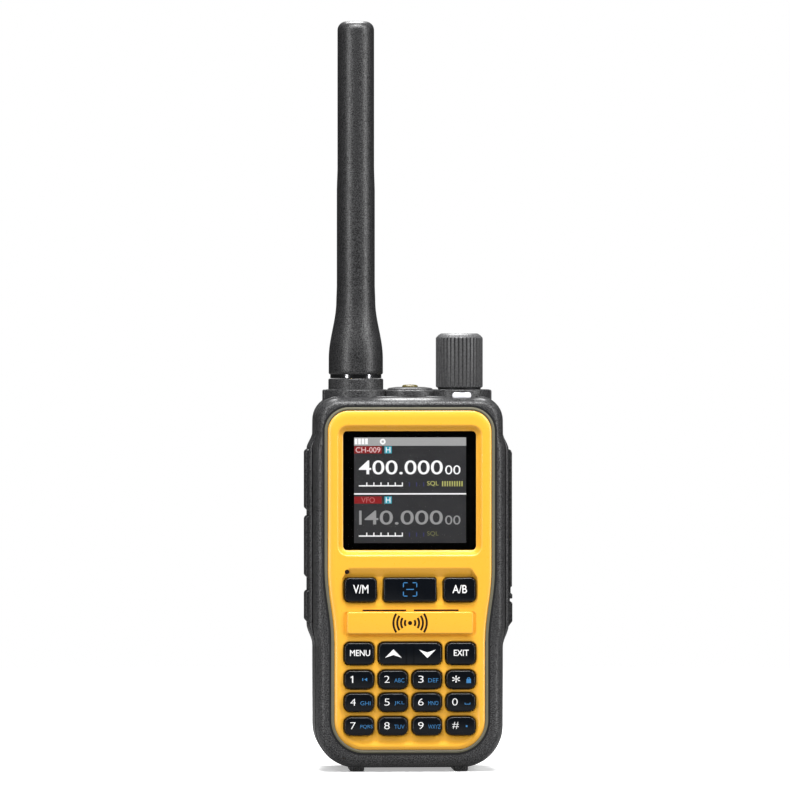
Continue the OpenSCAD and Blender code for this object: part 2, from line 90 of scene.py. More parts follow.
PLATE_Y = (3.4, 6.0)  # chassis plate, front and back
HUMP_Y = 17.6  # the hump above the battery
HUMP_Z = 88.4
BACK_INSET = 1.2  # the hump and the battery are narrower than the case
PACK_Y = 6.3  # front of the battery
LID_Y = 16.4  # parting line between its shell and its lid
BATTERY_Z = 88.0
HOOK_Z = (14, 62)
HOOK_H = 6
CONTACT_X = (-6, 0, 6)
CONTACT_HW = 1.25
CONTACT_Z = (76, 82)
CHARGE_X, CHARGE_Z = 9.0, 12.0
SCREW_X, SCREW_Z = 23.0, 96.5
CLIP_X, CLIP_Z = 12.0, 101.0
LATCH_HW = 8.5
LATCH_Z = (88.8, 93.4)

PANEL_Y = -17.4
RECESS_Y = -15.8
PANEL_HW = 24.0  # half widths beside the screen and beside the keypad
PANEL_LOW_HW = 22.1
PANEL_Z = (6.1, 104.6)
PANEL_R = (9.0, 6.5)
WINDOW = (-19.2, 19.2, 63.9, 98.3)
WINDOW_R = 1.4
BEVEL = 1.6
SCREEN = (-15.95, 16.35, 66.0, 96.4)
SOUND_PLATE = (-18.2, 18.2, 39.9, 46.3)
MICROPHONE = (-18.1, 57.8)

KEY_Y = -18.4
COLUMNS = [(i - 1.5) * 9.77 for i in range(4)]
ROWS = (26.75, 20.2, 13.4)
TOP_ROW_Z = 52.65
MENU_ROW_Z = 34.25
SIDE_Y = (-11.3, -1.3)
SIDE_KEYS = {"upper": (75.0, 93.0), "middle": (55.5, 73.8), "lower": (42.7, 52.2)}
JACK_Y = -6.0
JACK_Z = (70.5, 81.9)

TOP_Y = -5.0  # axis of the antenna, lamp and knob
ANTENNA_X = -15.0
KNOB_X = 15.0
LAMP_X = 0.7
KNOB_Z = (110.6, 126.4)


# ---------------------------------------------------------------- materials
def new_material(name):
    """A node material with its principled shader and output."""
    material = bpy.data.materials.new(name)
    material.use_nodes = True
    return material, material.node_tree.nodes, material.node_tree.links


def plastic(name, colour, rough, spread=0.12, grain=900.0, bump=0.08, depth=0.00004, metallic=0.0,
            coat=0.0, specular=0.5, rough_spread=0.08, mottle=60.0, speckle=0.0):
    """Moulded or metal surface: a base colour that varies a little, uneven roughness and fine grain.

    Speckle is how far the fine grain itself lightens and darkens the colour.
    """
    material, nodes, links = new_material(name)
    shader = nodes["Principled BSDF"]
    place = nodes.new("ShaderNodeTexCoord")
    wide = nodes.new("ShaderNodeTexNoise")
    wide.inputs["Scale"].default_value = mottle
    wide.inputs["Detail"].default_value = 4.0
    fine = nodes.new("ShaderNodeTexNoise")
    fine.inputs["Scale"].default_value = grain
    fine.inputs["Detail"].default_value = 3.0
    links.new(place.outputs["Object"], wide.inputs["Vector"])
    links.new(place.outputs["Object"], fine.inputs["Vector"])
    tint = nodes.new("ShaderNodeMix")
    tint.data_type = "RGBA"
    tint.inputs["A"].default_value = [c * (1 - spread) for c in colour] + [1]
    tint.inputs["B"].default_value = [min(1.0, c * (1 + spread)) for c in colour] + [1]
    links.new(wide.outputs["Fac"], tint.inputs["Factor"])
    dots = nodes.new("ShaderNodeMapRange")
    dots.inputs["From Min"].default_value = 0.35
    dots.inputs["From Max"].default_value = 0.65
    dots.inputs["To Min"].default_value = 1 - speckle
    dots.inputs["To Max"].default_value = 1 + speckle
    links.new(fine.outputs["Fac"], dots.inputs["Value"])
    shade = nodes.new("ShaderNodeVectorMath")
    shade.operation = "SCALE"
    links.new(tint.outputs["Result"], shade.inputs[0])
    links.new(dots.outputs["Result"], shade.inputs["Scale"])
    links.new(shade.outputs["Vector"], shader.inputs["Base Color"])
    gloss = nodes.new("ShaderNodeMapRange")
    gloss.inputs["To Min"].default_value = max(0.03, rough - rough_spread)
    gloss.inputs["To Max"].default_value = min(1.0, rough + rough_spread)
    links.new(fine.outputs["Fac"], gloss.inputs["Value"])
    links.new(gloss.outputs["Result"], shader.inputs["Roughness"])
    relief = nodes.new("ShaderNodeBump")
    relief.inputs["Strength"].default_value = bump
    relief.inputs["Distance"].default_value = depth
    links.new(fine.outputs["Fac"], relief.inputs["Height"])
    links.new(relief.outputs["Normal"], shader.inputs["Normal"])
    shader.inputs["Metallic"].default_value = metallic
    shader.inputs["Coat Weight"].default_value = coat
    shader.inputs["Coat Roughness"].default_value = 0.12
    if speckle:
        shine = nodes.new("ShaderNodeMath")
        shine.operation = "MULTIPLY"
        shine.inputs[1].default_value = specular
        links.new(dots.outputs["Result"], shine.inputs[0])
        links.new(shine.outputs["Value"], shader.inputs["Specular IOR Level"])
    else:
        shader.inputs["Specular IOR Level"].default_value = specular
    return material


def glow(name, colour, strength, lines=0.1):
    """Lit pixels of the screen: emission that the fine rows of the display modulate a little."""
    material, nodes, links = new_material(name)
    shader = nodes["Principled BSDF"]
    shader.inputs["Base Color"].default_value = (0.01, 0.01, 0.01, 1)
    shader.inputs["Roughness"].default_value = 0.35
    shader.inputs["Specular IOR Level"].default_value = 0.05
    place = nodes.new("ShaderNodeTexCoord")
    rows = nodes.new("ShaderNodeTexWave")
    rows.bands_direction = "Z"
    rows.inputs["Scale"].default_value = 1300.0
    level = nodes.new("ShaderNodeMapRange")
    level.inputs["To Min"].default_value = strength * (1 - lines)
    level.inputs["To Max"].default_value = strength * (1 + lines)
    links.new(place.outputs["Object"], rows.inputs["Vector"])
    links.new(rows.outputs["Fac"], level.inputs["Value"])
    links.new(level.outputs["Result"], shader.inputs["Emission Strength"])
    shader.inputs["Emission Color"].default_value = (*colour, 1)
    return material


def srgb(r, g, b):
    """A colour given as 0-255 screen values, as linear light."""
    return tuple((c / 255 / 12.92) if c <= 10 else ((c / 255 + 0.055) / 1.055) ** 2.4 for c in (r, g, b))


CASE = plastic("case_black", srgb(55, 55, 56), 0.38, spread=0.2, grain=3400, bump=0.5, depth=0.00008,
               specular=0.42, speckle=0.75)
YELLOW = plastic("panel_yellow", srgb(247, 181, 57), 0.3, spread=0.03, grain=1500, bump=0.05, coat=0.1)
SEAL = plastic("seal_grey", srgb(100, 97, 78), 0.6, spread=0.1)
RUBBER = plastic("rubber_black", srgb(34, 34, 35), 0.5, spread=0.15, grain=1800, bump=0.5, speckle=0.4)
SIDE_KEY = plastic("side_key_black", srgb(34, 34, 36), 0.38, spread=0.15, grain=2200, bump=0.5, speckle=0.4)
KEY = plastic("key_gloss", srgb(11, 14, 19), 0.18, spread=0.2, grain=400, bump=0.02, specular=0.3)
MASK = plastic("mask_black", (0.0012, 0.0012, 0.0012), 0.2, spread=0.2, grain=200, bump=0.0, specular=0.05)
ANTENNA = plastic("antenna_black", srgb(40, 40, 41), 0.38, spread=0.2, grain=3400, bump=0.5, depth=0.00008,
                  specular=0.64, speckle=0.65)
KNOB = plastic("knob_grey", srgb(80, 80, 81), 0.42, spread=0.1, grain=1800, bump=0.3, speckle=0.2)
SHINY = plastic("ring_dark_chrome", (0.25, 0.25, 0.26), 0.16, spread=0.1, metallic=1.0, bump=0.02)
STEEL = plastic("steel", (0.5, 0.5, 0.52), 0.32, metallic=1.0, bump=0.05)
GOLD = plastic("gold_plate", (0.78, 0.56, 0.22), 0.28, metallic=1.0, bump=0.04)
COPPER = plastic("copper_wire", (0.7, 0.35, 0.18), 0.35, metallic=1.0)
BOARD = plastic("circuit_board", (0.02, 0.13, 0.05), 0.4, spread=0.25, mottle=400)
SILICONE = plastic("silicone_grey", (0.2, 0.2, 0.21), 0.55)
# near black for inner parts; in the band round the panel seal and the skirt under the knob it is painted
# shadow
DARK = plastic("plain_dark", (0.012, 0.012, 0.013), 0.5, specular=0.3)
LENS = plastic("lens_milky", (0.82, 0.82, 0.86), 0.22, spread=0.04, coat=0.4)
LAMP = plastic("lamp_phosphor", srgb(84, 74, 22), 0.3, spread=0.2, mottle=900)
CELL = plastic("cell_film", (0.05, 0.16, 0.32), 0.3, spread=0.15)
LEGEND = plastic("legend_white", (0.9, 0.9, 0.9), 0.5, spread=0.03, specular=0.2)
LEGEND_BLUE = plastic("legend_blue", srgb(62, 124, 178), 0.5, spread=0.05, specular=0.2)
# dark brown print of the wave mark; the same colour is painted shade in the sound slots and the microphone
# hole
PRINT_AND_HOLE_SHADE = plastic("print_and_painted_hole_shade", srgb(34, 18, 10), 0.5, spread=0.1, specular=0.2)


# ---------------------------------------------------------------- mesh helpers
def add_mesh(name, vertices, faces, material, smooth=30.0):
    """A mesh object from millimetre points, smooth where faces meet below the angle."""
    mesh = bpy.data.meshes.new(name)
    mesh.from_pydata([tuple(c * MM for c in v) for v in vertices], [], faces)
    obj = bpy.data.objects.new(name, mesh)
    bpy.context.scene.collection.objects.link(obj)
    clean(obj)
    finish_surface(obj, material, smooth)
    return obj


def clean(obj):
    """Faces turned outwards and doubled points joined."""
    work = bmesh.new()
    work.from_mesh(obj.data)
    bmesh.ops.remove_doubles(work, verts=work.verts, dist=1e-7)
    bmesh.ops.recalc_face_normals(work, faces=work.faces)
    work.to_mesh(obj.data)
    work.free()


def finish_surface(obj, material, smooth=30.0):
    """One material, and shading that is smooth except over sharp edges."""
    obj.data.materials.clear()
    obj.data.materials.append(material)
    obj.data.shade_smooth()
    obj.data.set_sharp_from_angle(angle=math.radians(smooth))


def loft(name, loops, material, close=True, ends=True, smooth=35.0):
    """Skin through loops of equally many points; the first and last loops can be capped."""
    count = len(loops[0])
    vertices = [p for loop in loops for p in loop]
    faces = []
    last = len(loops) - 1
    for i in range(last if not close else last + 1):
        a, b = i * count, ((i + 1) % len(loops)) * count
        for j in range(count):
            k = (j + 1) % count
            faces.append((a + j, a + k, b + k, b + j))
    if not close and ends:
        faces.append(tuple(range(count)))
        faces.append(tuple(last * count + j for j in reversed(range(count))))
    return add_mesh(name, vertices, faces, material, smooth)


def at_y(outline, y):
    """An outline of the XZ plane, placed at y."""
    return [(x, y, z) for x, z in outline]


def at_z(outline, z):
    """An outline of the XY plane, placed at z."""
    return [(x, y, z) for x, y in outline]


def arc(cx, cy, r, a0, a1, steps):
    """Points on an arc, from angle a0 to a1 in degrees."""
    turns = [math.radians(a0 + (a1 - a0) * i / steps) for i in range(steps + 1)]
    return [(cx + r * math.cos(a), cy + r * math.sin(a)) for a in turns]


def circle(cx, cy, r, steps):
    """Points round a whole circle."""
    return arc(cx, cy, r, 0, 360, steps)[:-1]


def rounded(x0, x1, y0, y1, r, steps=8):
    """A rounded rectangle, anticlockwise."""
    return (arc(x1 - r, y0 + r, r, -90, 0, steps) + arc(x1 - r, y1 - r, r, 0, 90, steps)
            + arc(x0 + r, y1 - r, r, 90, 180, steps) + arc(x0 + r, y0 + r, r, 180, 270, steps))


def round_over(radius, steps=5):
    """(inset, drop) pairs of a quarter-round edge, from the side wall to the flat."""
    return [(radius * (1 - math.cos(math.radians(90 * i / steps))),
             radius * (1 - math.sin(math.radians(90 * i / steps)))) for i in range(steps + 1)]


def pillow(name, outline_at, y_back, y_front, radius, material, crown=0.0):
    """A cap on the XZ plane: straight sides, a round edge of the radius, and a face that bulges by crown.

    outline_at(inset) gives the outline drawn in by that much.
    """
    loops = [at_y(outline_at(0.0), y_back)]
    loops += [at_y(outline_at(inset), y_front + drop) for inset, drop in round_over(radius)]
    if crown:
        flat = outline_at(radius)
        cx = sum(x for x, _ in flat) / len(flat)
        cz = sum(z for _, z in flat) / len(flat)
        for share in (0.75, 0.5, 0.25):
            drawn = [(cx + (x - cx) * share, cz + (z - cz) * share) for x, z in flat]
            loops.append(at_y(drawn, y_front - crown * (1 - share * share)))
    return loft(name, loops, material, close=False)


def lathe(name, profile, x, y, material):
    """A turned piece about a vertical axis: profile is (radius, z) from the bottom up."""
    return loft(name, [at_z(circle(x, y, r, 96), z) for r, z in profile], material, close=False)


def rod_x(name, x0, x1, y, z, r, material):
    """A round piece along X."""
    ring = circle(y, z, r, 40)
    return loft(name, [[(x, py, pz) for py, pz in ring] for x in (x0, x1)], material, close=False)


def rod_y(name, x, z, r, y0, y1, material):
    """A round piece along Y."""
    return loft(name, [at_y(circle(x, z, r, 40), y) for y in (y0, y1)], material, close=False)


def box(name, x0, x1, y0, y1, z0, z1, material, bevel=0.0):
    """A block with bevelled edges."""
    corners = [(x, y, z) for x in (x0, x1) for y in (y0, y1) for z in (z0, z1)]
    faces = [(0, 1, 3, 2), (4, 6, 7, 5), (0, 4, 5, 1), (2, 3, 7, 6), (0, 2, 6, 4), (1, 5, 7, 3)]
    block = add_mesh(name, corners, faces, material)
    if bevel:
        bevel_edges(block, bevel)
    return block


def side_slab(name, profile, material, bevel=0.0, segments=3):
    """A piece at the side of the case: its XZ profile drawn along Y, with bevelled edges."""
    slab = loft(name, [at_y(profile, y) for y in SIDE_Y], material, close=False)
    if bevel:
        bevel_edges(slab, bevel, segments)
    return slab


def bevel_edges(obj, width, segments=4):
    """Rounds the sharp edges of a piece."""
    modifier = obj.modifiers.new("edges", "BEVEL")
    modifier.width = width * MM
    modifier.segments = segments
    modifier.limit_method = "ANGLE"
    modifier.angle_limit = math.radians(40)
    apply_modifiers(obj)
    finish_surface(obj, obj.data.materials[0])


def apply_modifiers(obj):
    """Bakes the modifiers of an object into its mesh."""
    graph = bpy.context.evaluated_depsgraph_get()
    mesh = bpy.data.meshes.new_from_object(obj.evaluated_get(graph))
    obj.modifiers.clear()
    obj.data = mesh


def cut(obj, cutter):
    """Takes one mesh out of another and deletes the cutter."""
    modifier = obj.modifiers.new("cut", "BOOLEAN")
    modifier.operation = "DIFFERENCE"
    modifier.solver = "EXACT"
    modifier.object = cutter
    apply_modifiers(obj)
    bpy.data.objects.remove(cutter)


def cut_box(obj, x0, x1, y0, y1, z0, z1):
    """Takes a block out of a piece."""
    cut(obj, box("cutter", x0, x1, y0, y1, z0, z1, obj.data.materials[0]))


def cut_hole(obj, x, z, r, y0):
    """Takes a round hole out of a piece, from y0 out through its back."""
    cut(obj, rod_y("cutter", x, z, r, y0, FAR, obj.data.materials[0]))


def attach(piece, body, slot_name=None, *nodes):
    """Tells the frame what a piece moves with and hides the CAD nodes it stands in for; slot_name is not
    used.
    """
    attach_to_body(piece, body)
    if nodes:
        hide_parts(*nodes)


# ---------------------------------------------------------------- outlines
def smoothstep(value, low, high):
    """0 below low, 1 above high, and a smooth rise between them."""
    t = np.clip((value - low) / (high - low), 0, 1)
    return t * t * (3 - 2 * t)


def case_outline(inset, bulge=BULGE_HW):
    """Outline of the case from the front, anticlockwise, drawn in by inset along its normals."""
    swell = bulge - BODY_HW
    rising = [(BODY_HW + swell * float(smoothstep(z, 36.0, 42.0)), z) for z in (36.8, 38, 39, 40, 41.2)]
    falling = [(bulge - swell * float(smoothstep(z, 92.9, 97.7)), z) for z in (93.6, 94.6, 95.4, 96.2, 97.2)]
    right = (arc(BODY_HW - BASE_R, BASE_Z + BASE_R, BASE_R, -90, 0, 14)
             + [(BODY_HW, 24.0), (BODY_HW, 35.6)] + rising
             + [(bulge, z) for z in (42.4, 60.0, 80.0, 92.6)] + falling
             + arc(BODY_HW - SHOULDER_R, SHOULDER_Z - SHOULDER_R, SHOULDER_R, 0, 90, 10))
    return inset_loop(mirrored(right), inset)


def mirrored(right):
    """A closed loop from its right half, drawn upwards."""
    return right + [(-x, z) for x, z in reversed(right)]


def inset_loop(points, inset):
    """Moves each point of an anticlockwise loop inwards along its normal."""
    if not inset:
        return points
    moved = []
    count = len(points)
    for i, (x, z) in enumerate(points):
        ax, az = points[i - 1]
        bx, bz = points[(i + 1) % count]
        first = Vector((x - ax, z - az)).normalized()
        second = Vector((bx - x, bz - z)).normalized()
        normal = Vector((-(first + second).y, (first + second).x)).normalized()
        stretch = 1 / max(0.5, normal.dot(Vector((-first.y, first.x))))
        moved.append((x + normal.x * inset * stretch, z + normal.y * inset * stretch))
    return moved


def panel_half_width(z):
    """Half width of the yellow panel: it narrows in an S curve towards the keypad."""
    t = np.clip((z - 37.7) / 20.6, 0, 1)
    return PANEL_LOW_HW + (PANEL_HW - PANEL_LOW_HW) * (1 - np.cos(np.pi * t)) / 2


def panel_loop(inset):
    """Outline of the panel, anticlockwise."""
    (low, high), (low_r, high_r) = PANEL_Z, PANEL_R
    right = (arc(PANEL_LOW_HW - low_r, low + low_r, low_r, -90, 0, 14)
             + [(float(panel_half_width(z)), z) for z in np.arange(20.0, 97.0, 2.0)]
             + arc(PANEL_HW - high_r, high - high_r, high_r, 0, 90, 12))
    return inset_loop(mirrored(right), inset)


def corner_distance(dx, dz, r):
    """Signed distance to a rounded corner, from the distances beyond its two edges plus its radius."""
    return np.hypot(np.maximum(dx, 0), np.maximum(dz, 0)) + np.minimum(np.maximum(dx, dz), 0) - r


def round_rect_distance(x, z, bounds, r):
    """Signed distance to a rounded rectangle, negative inside."""
    x0, x1, z0, z1 = bounds
    dx = np.abs(x - (x0 + x1) / 2) - (x1 - x0) / 2 + r
    dz = np.abs(z - (z0 + z1) / 2) - (z1 - z0) / 2 + r
    return corner_distance(dx, dz, r)


def panel_distance(x, z):
    """Signed distance to the outline of the panel, negative inside."""
    upper = z > 50
    r = np.where(upper, PANEL_R[1], PANEL_R[0])
    dx = np.abs(x) - panel_half_width(z) + r
    dz = np.where(upper, z - PANEL_Z[1], PANEL_Z[0] - z) + r
    return corner_distance(dx, dz, r)


# every front key: centre x and z, width, height, corner radius
KEYS = {
    "key_vm": (-14.2, TOP_ROW_Z, 9.3, 6.9, 1.4),
    "key_scan": (0.0, TOP_ROW_Z, 15.3, 6.9, 0.9),
    "key_ab": (14.3, TOP_ROW_Z, 9.3, 6.9, 1.4),
    "key_menu": (COLUMNS[0], MENU_ROW_Z, 8.5, 6.3, 1.6),
    "key_rocker": (0.0, MENU_ROW_Z, 18.2, 6.3, 1.6),
    "key_exit": (COLUMNS[3], MENU_ROW_Z, 8.5, 6.3, 1.6),
}
PAD = (("1", "2", "3", "star"), ("4", "5", "6", "0"), ("7", "8", "9", "hash"))
for row_z, row_names in zip(ROWS, PAD):
    for column_x, key_name in zip(COLUMNS, row_names):
        KEYS["key_" + key_name] = (column_x, row_z, 8.5, 5.3, 1.9)


def key_bounds(key, grow=0.0):
    """Sides of a key, drawn out by grow."""
    x, z, w, h, _ = KEYS[key]
    return x - w / 2 - grow, x + w / 2 + grow, z - h / 2 - grow, z + h / 2 + grow


# ---------------------------------------------------------------- case
def core_outline(inset):
    """Outline of the front rim of the case, which stands inside the wider sides behind it."""
    return case_outline(inset + 0.35, bulge=BULGE_HW - 0.8)


def between(outer, inner, share):
    """An outline part of the way from one outline to another."""
    return [(ax + (bx - ax) * share, az + (bz - az) * share) for (ax, az), (bx, bz) in zip(outer, inner)]


def case_loops():
    """Loops from the parting line round the sides and the rim to the front, and back inside the wall."""
    chamfer = 0.25
    side_y, side_depth = -12.7, 1.1  # front edge of the wide sides
    groove_y, groove_share = -11.0, 0.8
    rim_width, rim_depth = 2.75, 3.6
    outer, core = case_outline(0), core_outline(0)
    loops = [at_y(case_outline(chamfer), RIM_Y), at_y(outer, RIM_Y - chamfer)]
    for inset, drop in round_over(1.0):
        loops.append(at_y(between(outer, core, inset * groove_share), side_y + side_depth * drop))
    loops += [at_y(core_outline(-0.03), groove_y), at_y(core, groove_y)]
    for inset, drop in round_over(1.0, 8):
        loops.append(at_y(core_outline(rim_width * inset), FACE_Y + rim_depth * drop))
    for inset, y in ((4.4, FACE_Y), (5.6, FACE_Y), (5.6, WALL_Y), (2.0, WALL_Y), (2.0, RIM_Y)):
        loops.append(at_y(case_outline(inset), y))
    return loops


def case_skin():
    """Black front case: wide sides, a fine groove, and a rounded rim in front of it round the panel."""
    skin = loft("front_case_skin", case_loops(), CASE, smooth=40)
    gap = 0.3
    for low, high in SIDE_KEYS.values():
        cut_box(skin, -32, -25, SIDE_Y[0] - gap, SIDE_Y[1] + gap, low - gap, high + gap)
    for z in JACK_Z:
        cut(skin, rod_x("cutter", 25, 32, JACK_Y, z, 3.0, CASE))
    finish_surface(skin, CASE, 40)
    attach(skin, "radio", "case", "front_case")


def tower(name, plan_at, z0, z1, radius, material):
    """An upright prism with a rounded top edge; plan_at(inset) is its plan."""
    loops = [at_z(plan_at(0.0), z0)]
    loops += [at_z(plan_at(inset), z1 - drop) for inset, drop in round_over(radius)]
    return loft(name, loops, material, close=False)


def deck():
    """Raised top deck: a lobe round the antenna, the lamp and the knob, joined behind."""
    behind = math.degrees(math.asin((RIM_Y - 0.4 - TOP_Y) / LOBE_R))
    lobes = (("deck_antenna", ANTENNA_X, LOBE_R, DECK_Z, behind),
             ("deck_lamp", LAMP_X, LOBE_R - 1, DECK_Z - 0.15, 68.0),
             ("deck_knob", KNOB_X, LOBE_R, DECK_Z, behind))
    pieces = []
    for name, x, r, top, back in lobes:
        def plan(inset, x=x, r=r, back=back):
            return arc(x, TOP_Y, r - inset, 180 - back, 360 + back, 48)

        pieces.append(tower(name, plan, 103.5, top, 0.5, CASE))
    pieces.append(box("deck_bridge", -DECK_HW, DECK_HW, TOP_Y, RIM_Y - 0.1, 104, DECK_Z - 0.1, CASE, 0.5))
    for piece in pieces:
        attach(piece, "radio", "case", "front_case")


def feet(name, body, node, y0, y1, top):
    """A pair of runners with rounded lower edges."""
    for side_name, side in SIDES:
        x = side * FOOT_X

        def section(inset, x=x):
            return rounded(x - FOOT_HW + inset, x + FOOT_HW - inset, y0 + inset, y1 - inset, 1.2)

        loops = [at_z(section(0), top)]
        loops += [at_z(section(inset), drop) for inset, drop in round_over(0.45)]
        attach(loft(f"{name}_{side_name}", loops, CASE, close=False), body, "case", node)


# ---------------------------------------------------------------- chassis
def chassis_plate():
    """Plate with the outline of the case, open at the battery contacts."""
    front, back = PLATE_Y
    edges = ((0.25, front), (0, front + 0.25), (0, back - 0.3), (0.3, back))
    plate = loft("chassis_plate", [at_y(case_outline(d), y) for d, y in edges], CASE, close=False, smooth=40)
    cut_contacts(plate)
    finish_surface(plate, CASE, 40)
    return plate


def chassis_hump():
    """Deep hump above the battery, with its latch pocket, screw seats and clip holes."""
    loops = [at_y(case_outline(BACK_INSET), 5.0)]
    loops += [at_y(case_outline(BACK_INSET + inset), HUMP_Y - drop) for inset, drop in round_over(3.0, 8)]
    hump = loft("chassis_hump", loops, CASE, close=False, smooth=40)
    cut_box(hump, -FAR, FAR, 0, 30, 0, HUMP_Z)
    cut_box(hump, -LATCH_HW - 0.5, LATCH_HW + 0.5, 16, 20, HUMP_Z - 1.4, LATCH_Z[1] + 2.1)
    for _, side in SIDES:
        cut_hole(hump, side * SCREW_X, SCREW_Z, 2.1, 16.2)
        cut_hole(hump, side * CLIP_X, CLIP_Z, 1.25, 9.6)
    finish_surface(hump, CASE, 40)
    return hump


def chassis_lip():
    """Ring inside the case that locates it, along its sides only."""
    edges = ((2.1, 0.5), (2.1, 3.6), (3.5, 3.6), (3.5, 0.5))
    lip = loft("chassis_lip", [at_y(case_outline(d), y) for d, y in edges], DARK)
    cut_box(lip, -FAR, FAR, -1, 5, 0, 30)
    cut_box(lip, -FAR, FAR, -1, 5, 93, 120)
    return lip


def hooks():
    """Four hooks that hold the battery: a stem with a wider head."""
    stem, head, head_y = 1.2, 2.6, (7.4, 8.4)
    pieces = []
    for side_name, side in SIDES:
        for z in HOOK_Z:
            root = 20 * side
            for name, reach, y0, bevel in (("stem", stem, 5.8, 0.15), ("head", head, head_y[0], 0.2)):
                x0, x1 = sorted((root, root + side * reach))
                pieces.append(box(f"hook_{name}_{side_name}_{z}", x0, x1, y0, head_y[1], z, z + HOOK_H, CASE,
                                  bevel))
    return pieces


def cut_contacts(piece):
    """Openings for the battery contacts."""
    for x in CONTACT_X:
        cut_box(piece, x - CONTACT_HW, x + CONTACT_HW, 5, 7, *CONTACT_Z)


def back_shell():
    """Chassis behind the case, and the seal between the two."""
    for piece in [chassis_plate(), chassis_hump(), chassis_lip(), *hooks()]:
        attach(piece, "radio", "case", "rear_chassis")
    edges = ((0.45, RIM_Y), (0.45, PLATE_Y[0]), (1.7, PLATE_Y[0]), (1.7, RIM_Y))
    seam = loft("case_seal_ring", [at_y(case_outline(d), y) for d, y in edges], RUBBER)
    attach(seam, "radio", "rubber", "case_seal")


# ---------------------------------------------------------------- panel
def panel_depth(x, z):
    """How far the panel's surface lies behind its highest plane."""
    deepest = 1.62
    inside = -panel_distance(x, z)
    edge_width, edge_depth = 2.6, 1.3
    edge = np.clip(1 - inside / edge_width, 0, 1)
    depth = edge_depth * (1 - np.sqrt(np.maximum(0, 1 - edge ** 2)))
    window = round_rect_distance(x, z, WINDOW, WINDOW_R)
    depth = np.maximum(depth, deepest * (1 - smoothstep(window, -0.15, BEVEL + 0.25)))
    # the keypad lies a little lower than the lip along the bottom
    depth = depth + 0.6 * smoothstep(inside, 1.3, 2.9) * (1 - smoothstep(z, 12, 34))
    # a ramp above the top keys that runs back out to the surface below them
    ramp_hw, ramp_top, ramp_low = 19.6, 58.9, 48.2
    ends = smoothstep(ramp_hw - np.abs(x) - 0.55 * np.maximum(0, z - 55.8), 0.0, 0.9)
    ramp = np.clip((ramp_top - z) / 2.6, 0, 1) * np.clip((z - ramp_low) / 5.5, 0, 1)
    depth = np.maximum(depth, 1.15 * ramp * ends)
    # a shallow tray round the raised plate
    x0, x1, z0, z1 = SOUND_PLATE
    tray = round_rect_distance(x, z, (x0 - 0.8, x1 + 0.8, z0 - 0.7, z1 - 0.1), 1.0)
    depth = np.maximum(depth, 0.3 * (1 - smoothstep(tray, -0.5, 0.3)))
    # a pit at every key, with a faint dish round it
    for key in KEYS:
        gap = round_rect_distance(x, z, key_bounds(key), KEYS[key][4])
        depth = np.maximum(depth, 1.2 * (1 - smoothstep(gap, 0.1, 0.34)))
        depth = depth + 0.08 * (1 - smoothstep(gap, 0.3, 0.9))
    return np.minimum(depth, deepest)


def panel_skin():
    """The yellow front as one sculpted skin with a fine grid, open at the window and under the keys."""
    step, margin = 0.2, 0.2
    xs = np.arange(-PANEL_HW - margin, PANEL_HW + margin + 0.01, step)
    zs = np.arange(PANEL_Z[0] - 0.3, PANEL_Z[1] + margin + 0.01, step)
    gx, gz = np.meshgrid(xs, zs)
    y = PANEL_Y + panel_depth(gx, gz)
    keep = panel_distance(gx, gz) < 0.15
    keep &= round_rect_distance(gx, gz, WINDOW, WINDOW_R) > -0.12
    for key in KEYS:
        keep &= round_rect_distance(gx, gz, key_bounds(key), KEYS[key][4]) > 0.1
    corners = ((0, 0), (0, 1), (1, 1), (1, 0))
    rows, columns = gx.shape

    def corner(values, a, b):
        """The grid's values at one corner of each of its squares."""
        return values[a:rows - 1 + a, b:columns - 1 + b]

    square = np.logical_and.reduce([corner(keep, a, b) for a, b in corners])
    used = np.zeros_like(keep)
    for a, b in corners:
        corner(used, a, b)[square] = True
    index = np.full(gx.shape, -1)
    index[used] = np.arange(used.sum())
    vertices = np.stack([gx[used], y[used], gz[used]], axis=1) * MM
    quads = np.stack([corner(index, a, b)[square] for a, b in corners], axis=1)
    mesh = bpy.data.meshes.new("front_panel_skin")
    mesh.from_pydata(vertices.tolist(), [], quads.tolist())
    panel = bpy.data.objects.new("front_panel_skin", mesh)
    bpy.context.scene.collection.objects.link(panel)
    finish_surface(panel, YELLOW, 80)
    return panel


def panel_ring(name, section, material):
    """A closed band round the panel; its section is given as (inset, y)."""
    return loft(name, [at_y(panel_loop(inset), y) for inset, y in section], material)


def front_wall():
    """Dark wall behind the panel, open round the keys."""
    wall = box("front_wall", -23.2, 23.2, RECESS_Y + 0.05, WALL_Y, 7.5, 62.6, DARK)
    for key in KEYS:
        x0, x1, z0, z1 = key_bounds(key, 0.35)
        cut_box(wall, x0, x1, -20, -10, z0, z1)
    return wall


def sound_openings():
    """Two sound slots above the plate and the microphone hole, drawn as dark patches that paint the shade
    inside the openings.
    """
    slot_z = (46.4, 46.95)
    for i, (x0, x1) in enumerate(((-13.7, -1.0), (1.1, 14.1))):
        # each slot is a dark block on the surface: painted shade of the opening
        attach(box(f"sound_slot_{i + 1}", x0, x1, PANEL_Y - 0.03, PANEL_Y + 0.5, *slot_z, PRINT_AND_HOLE_SHADE, 0.1),
               "radio")
    # the microphone hole is a dark disc: painted shade of the hole
    attach(rod_y("microphone_hole", *MICROPHONE, 0.65, PANEL_Y - 0.02, PANEL_Y + 0.9, PRINT_AND_HOLE_SHADE), "radio")


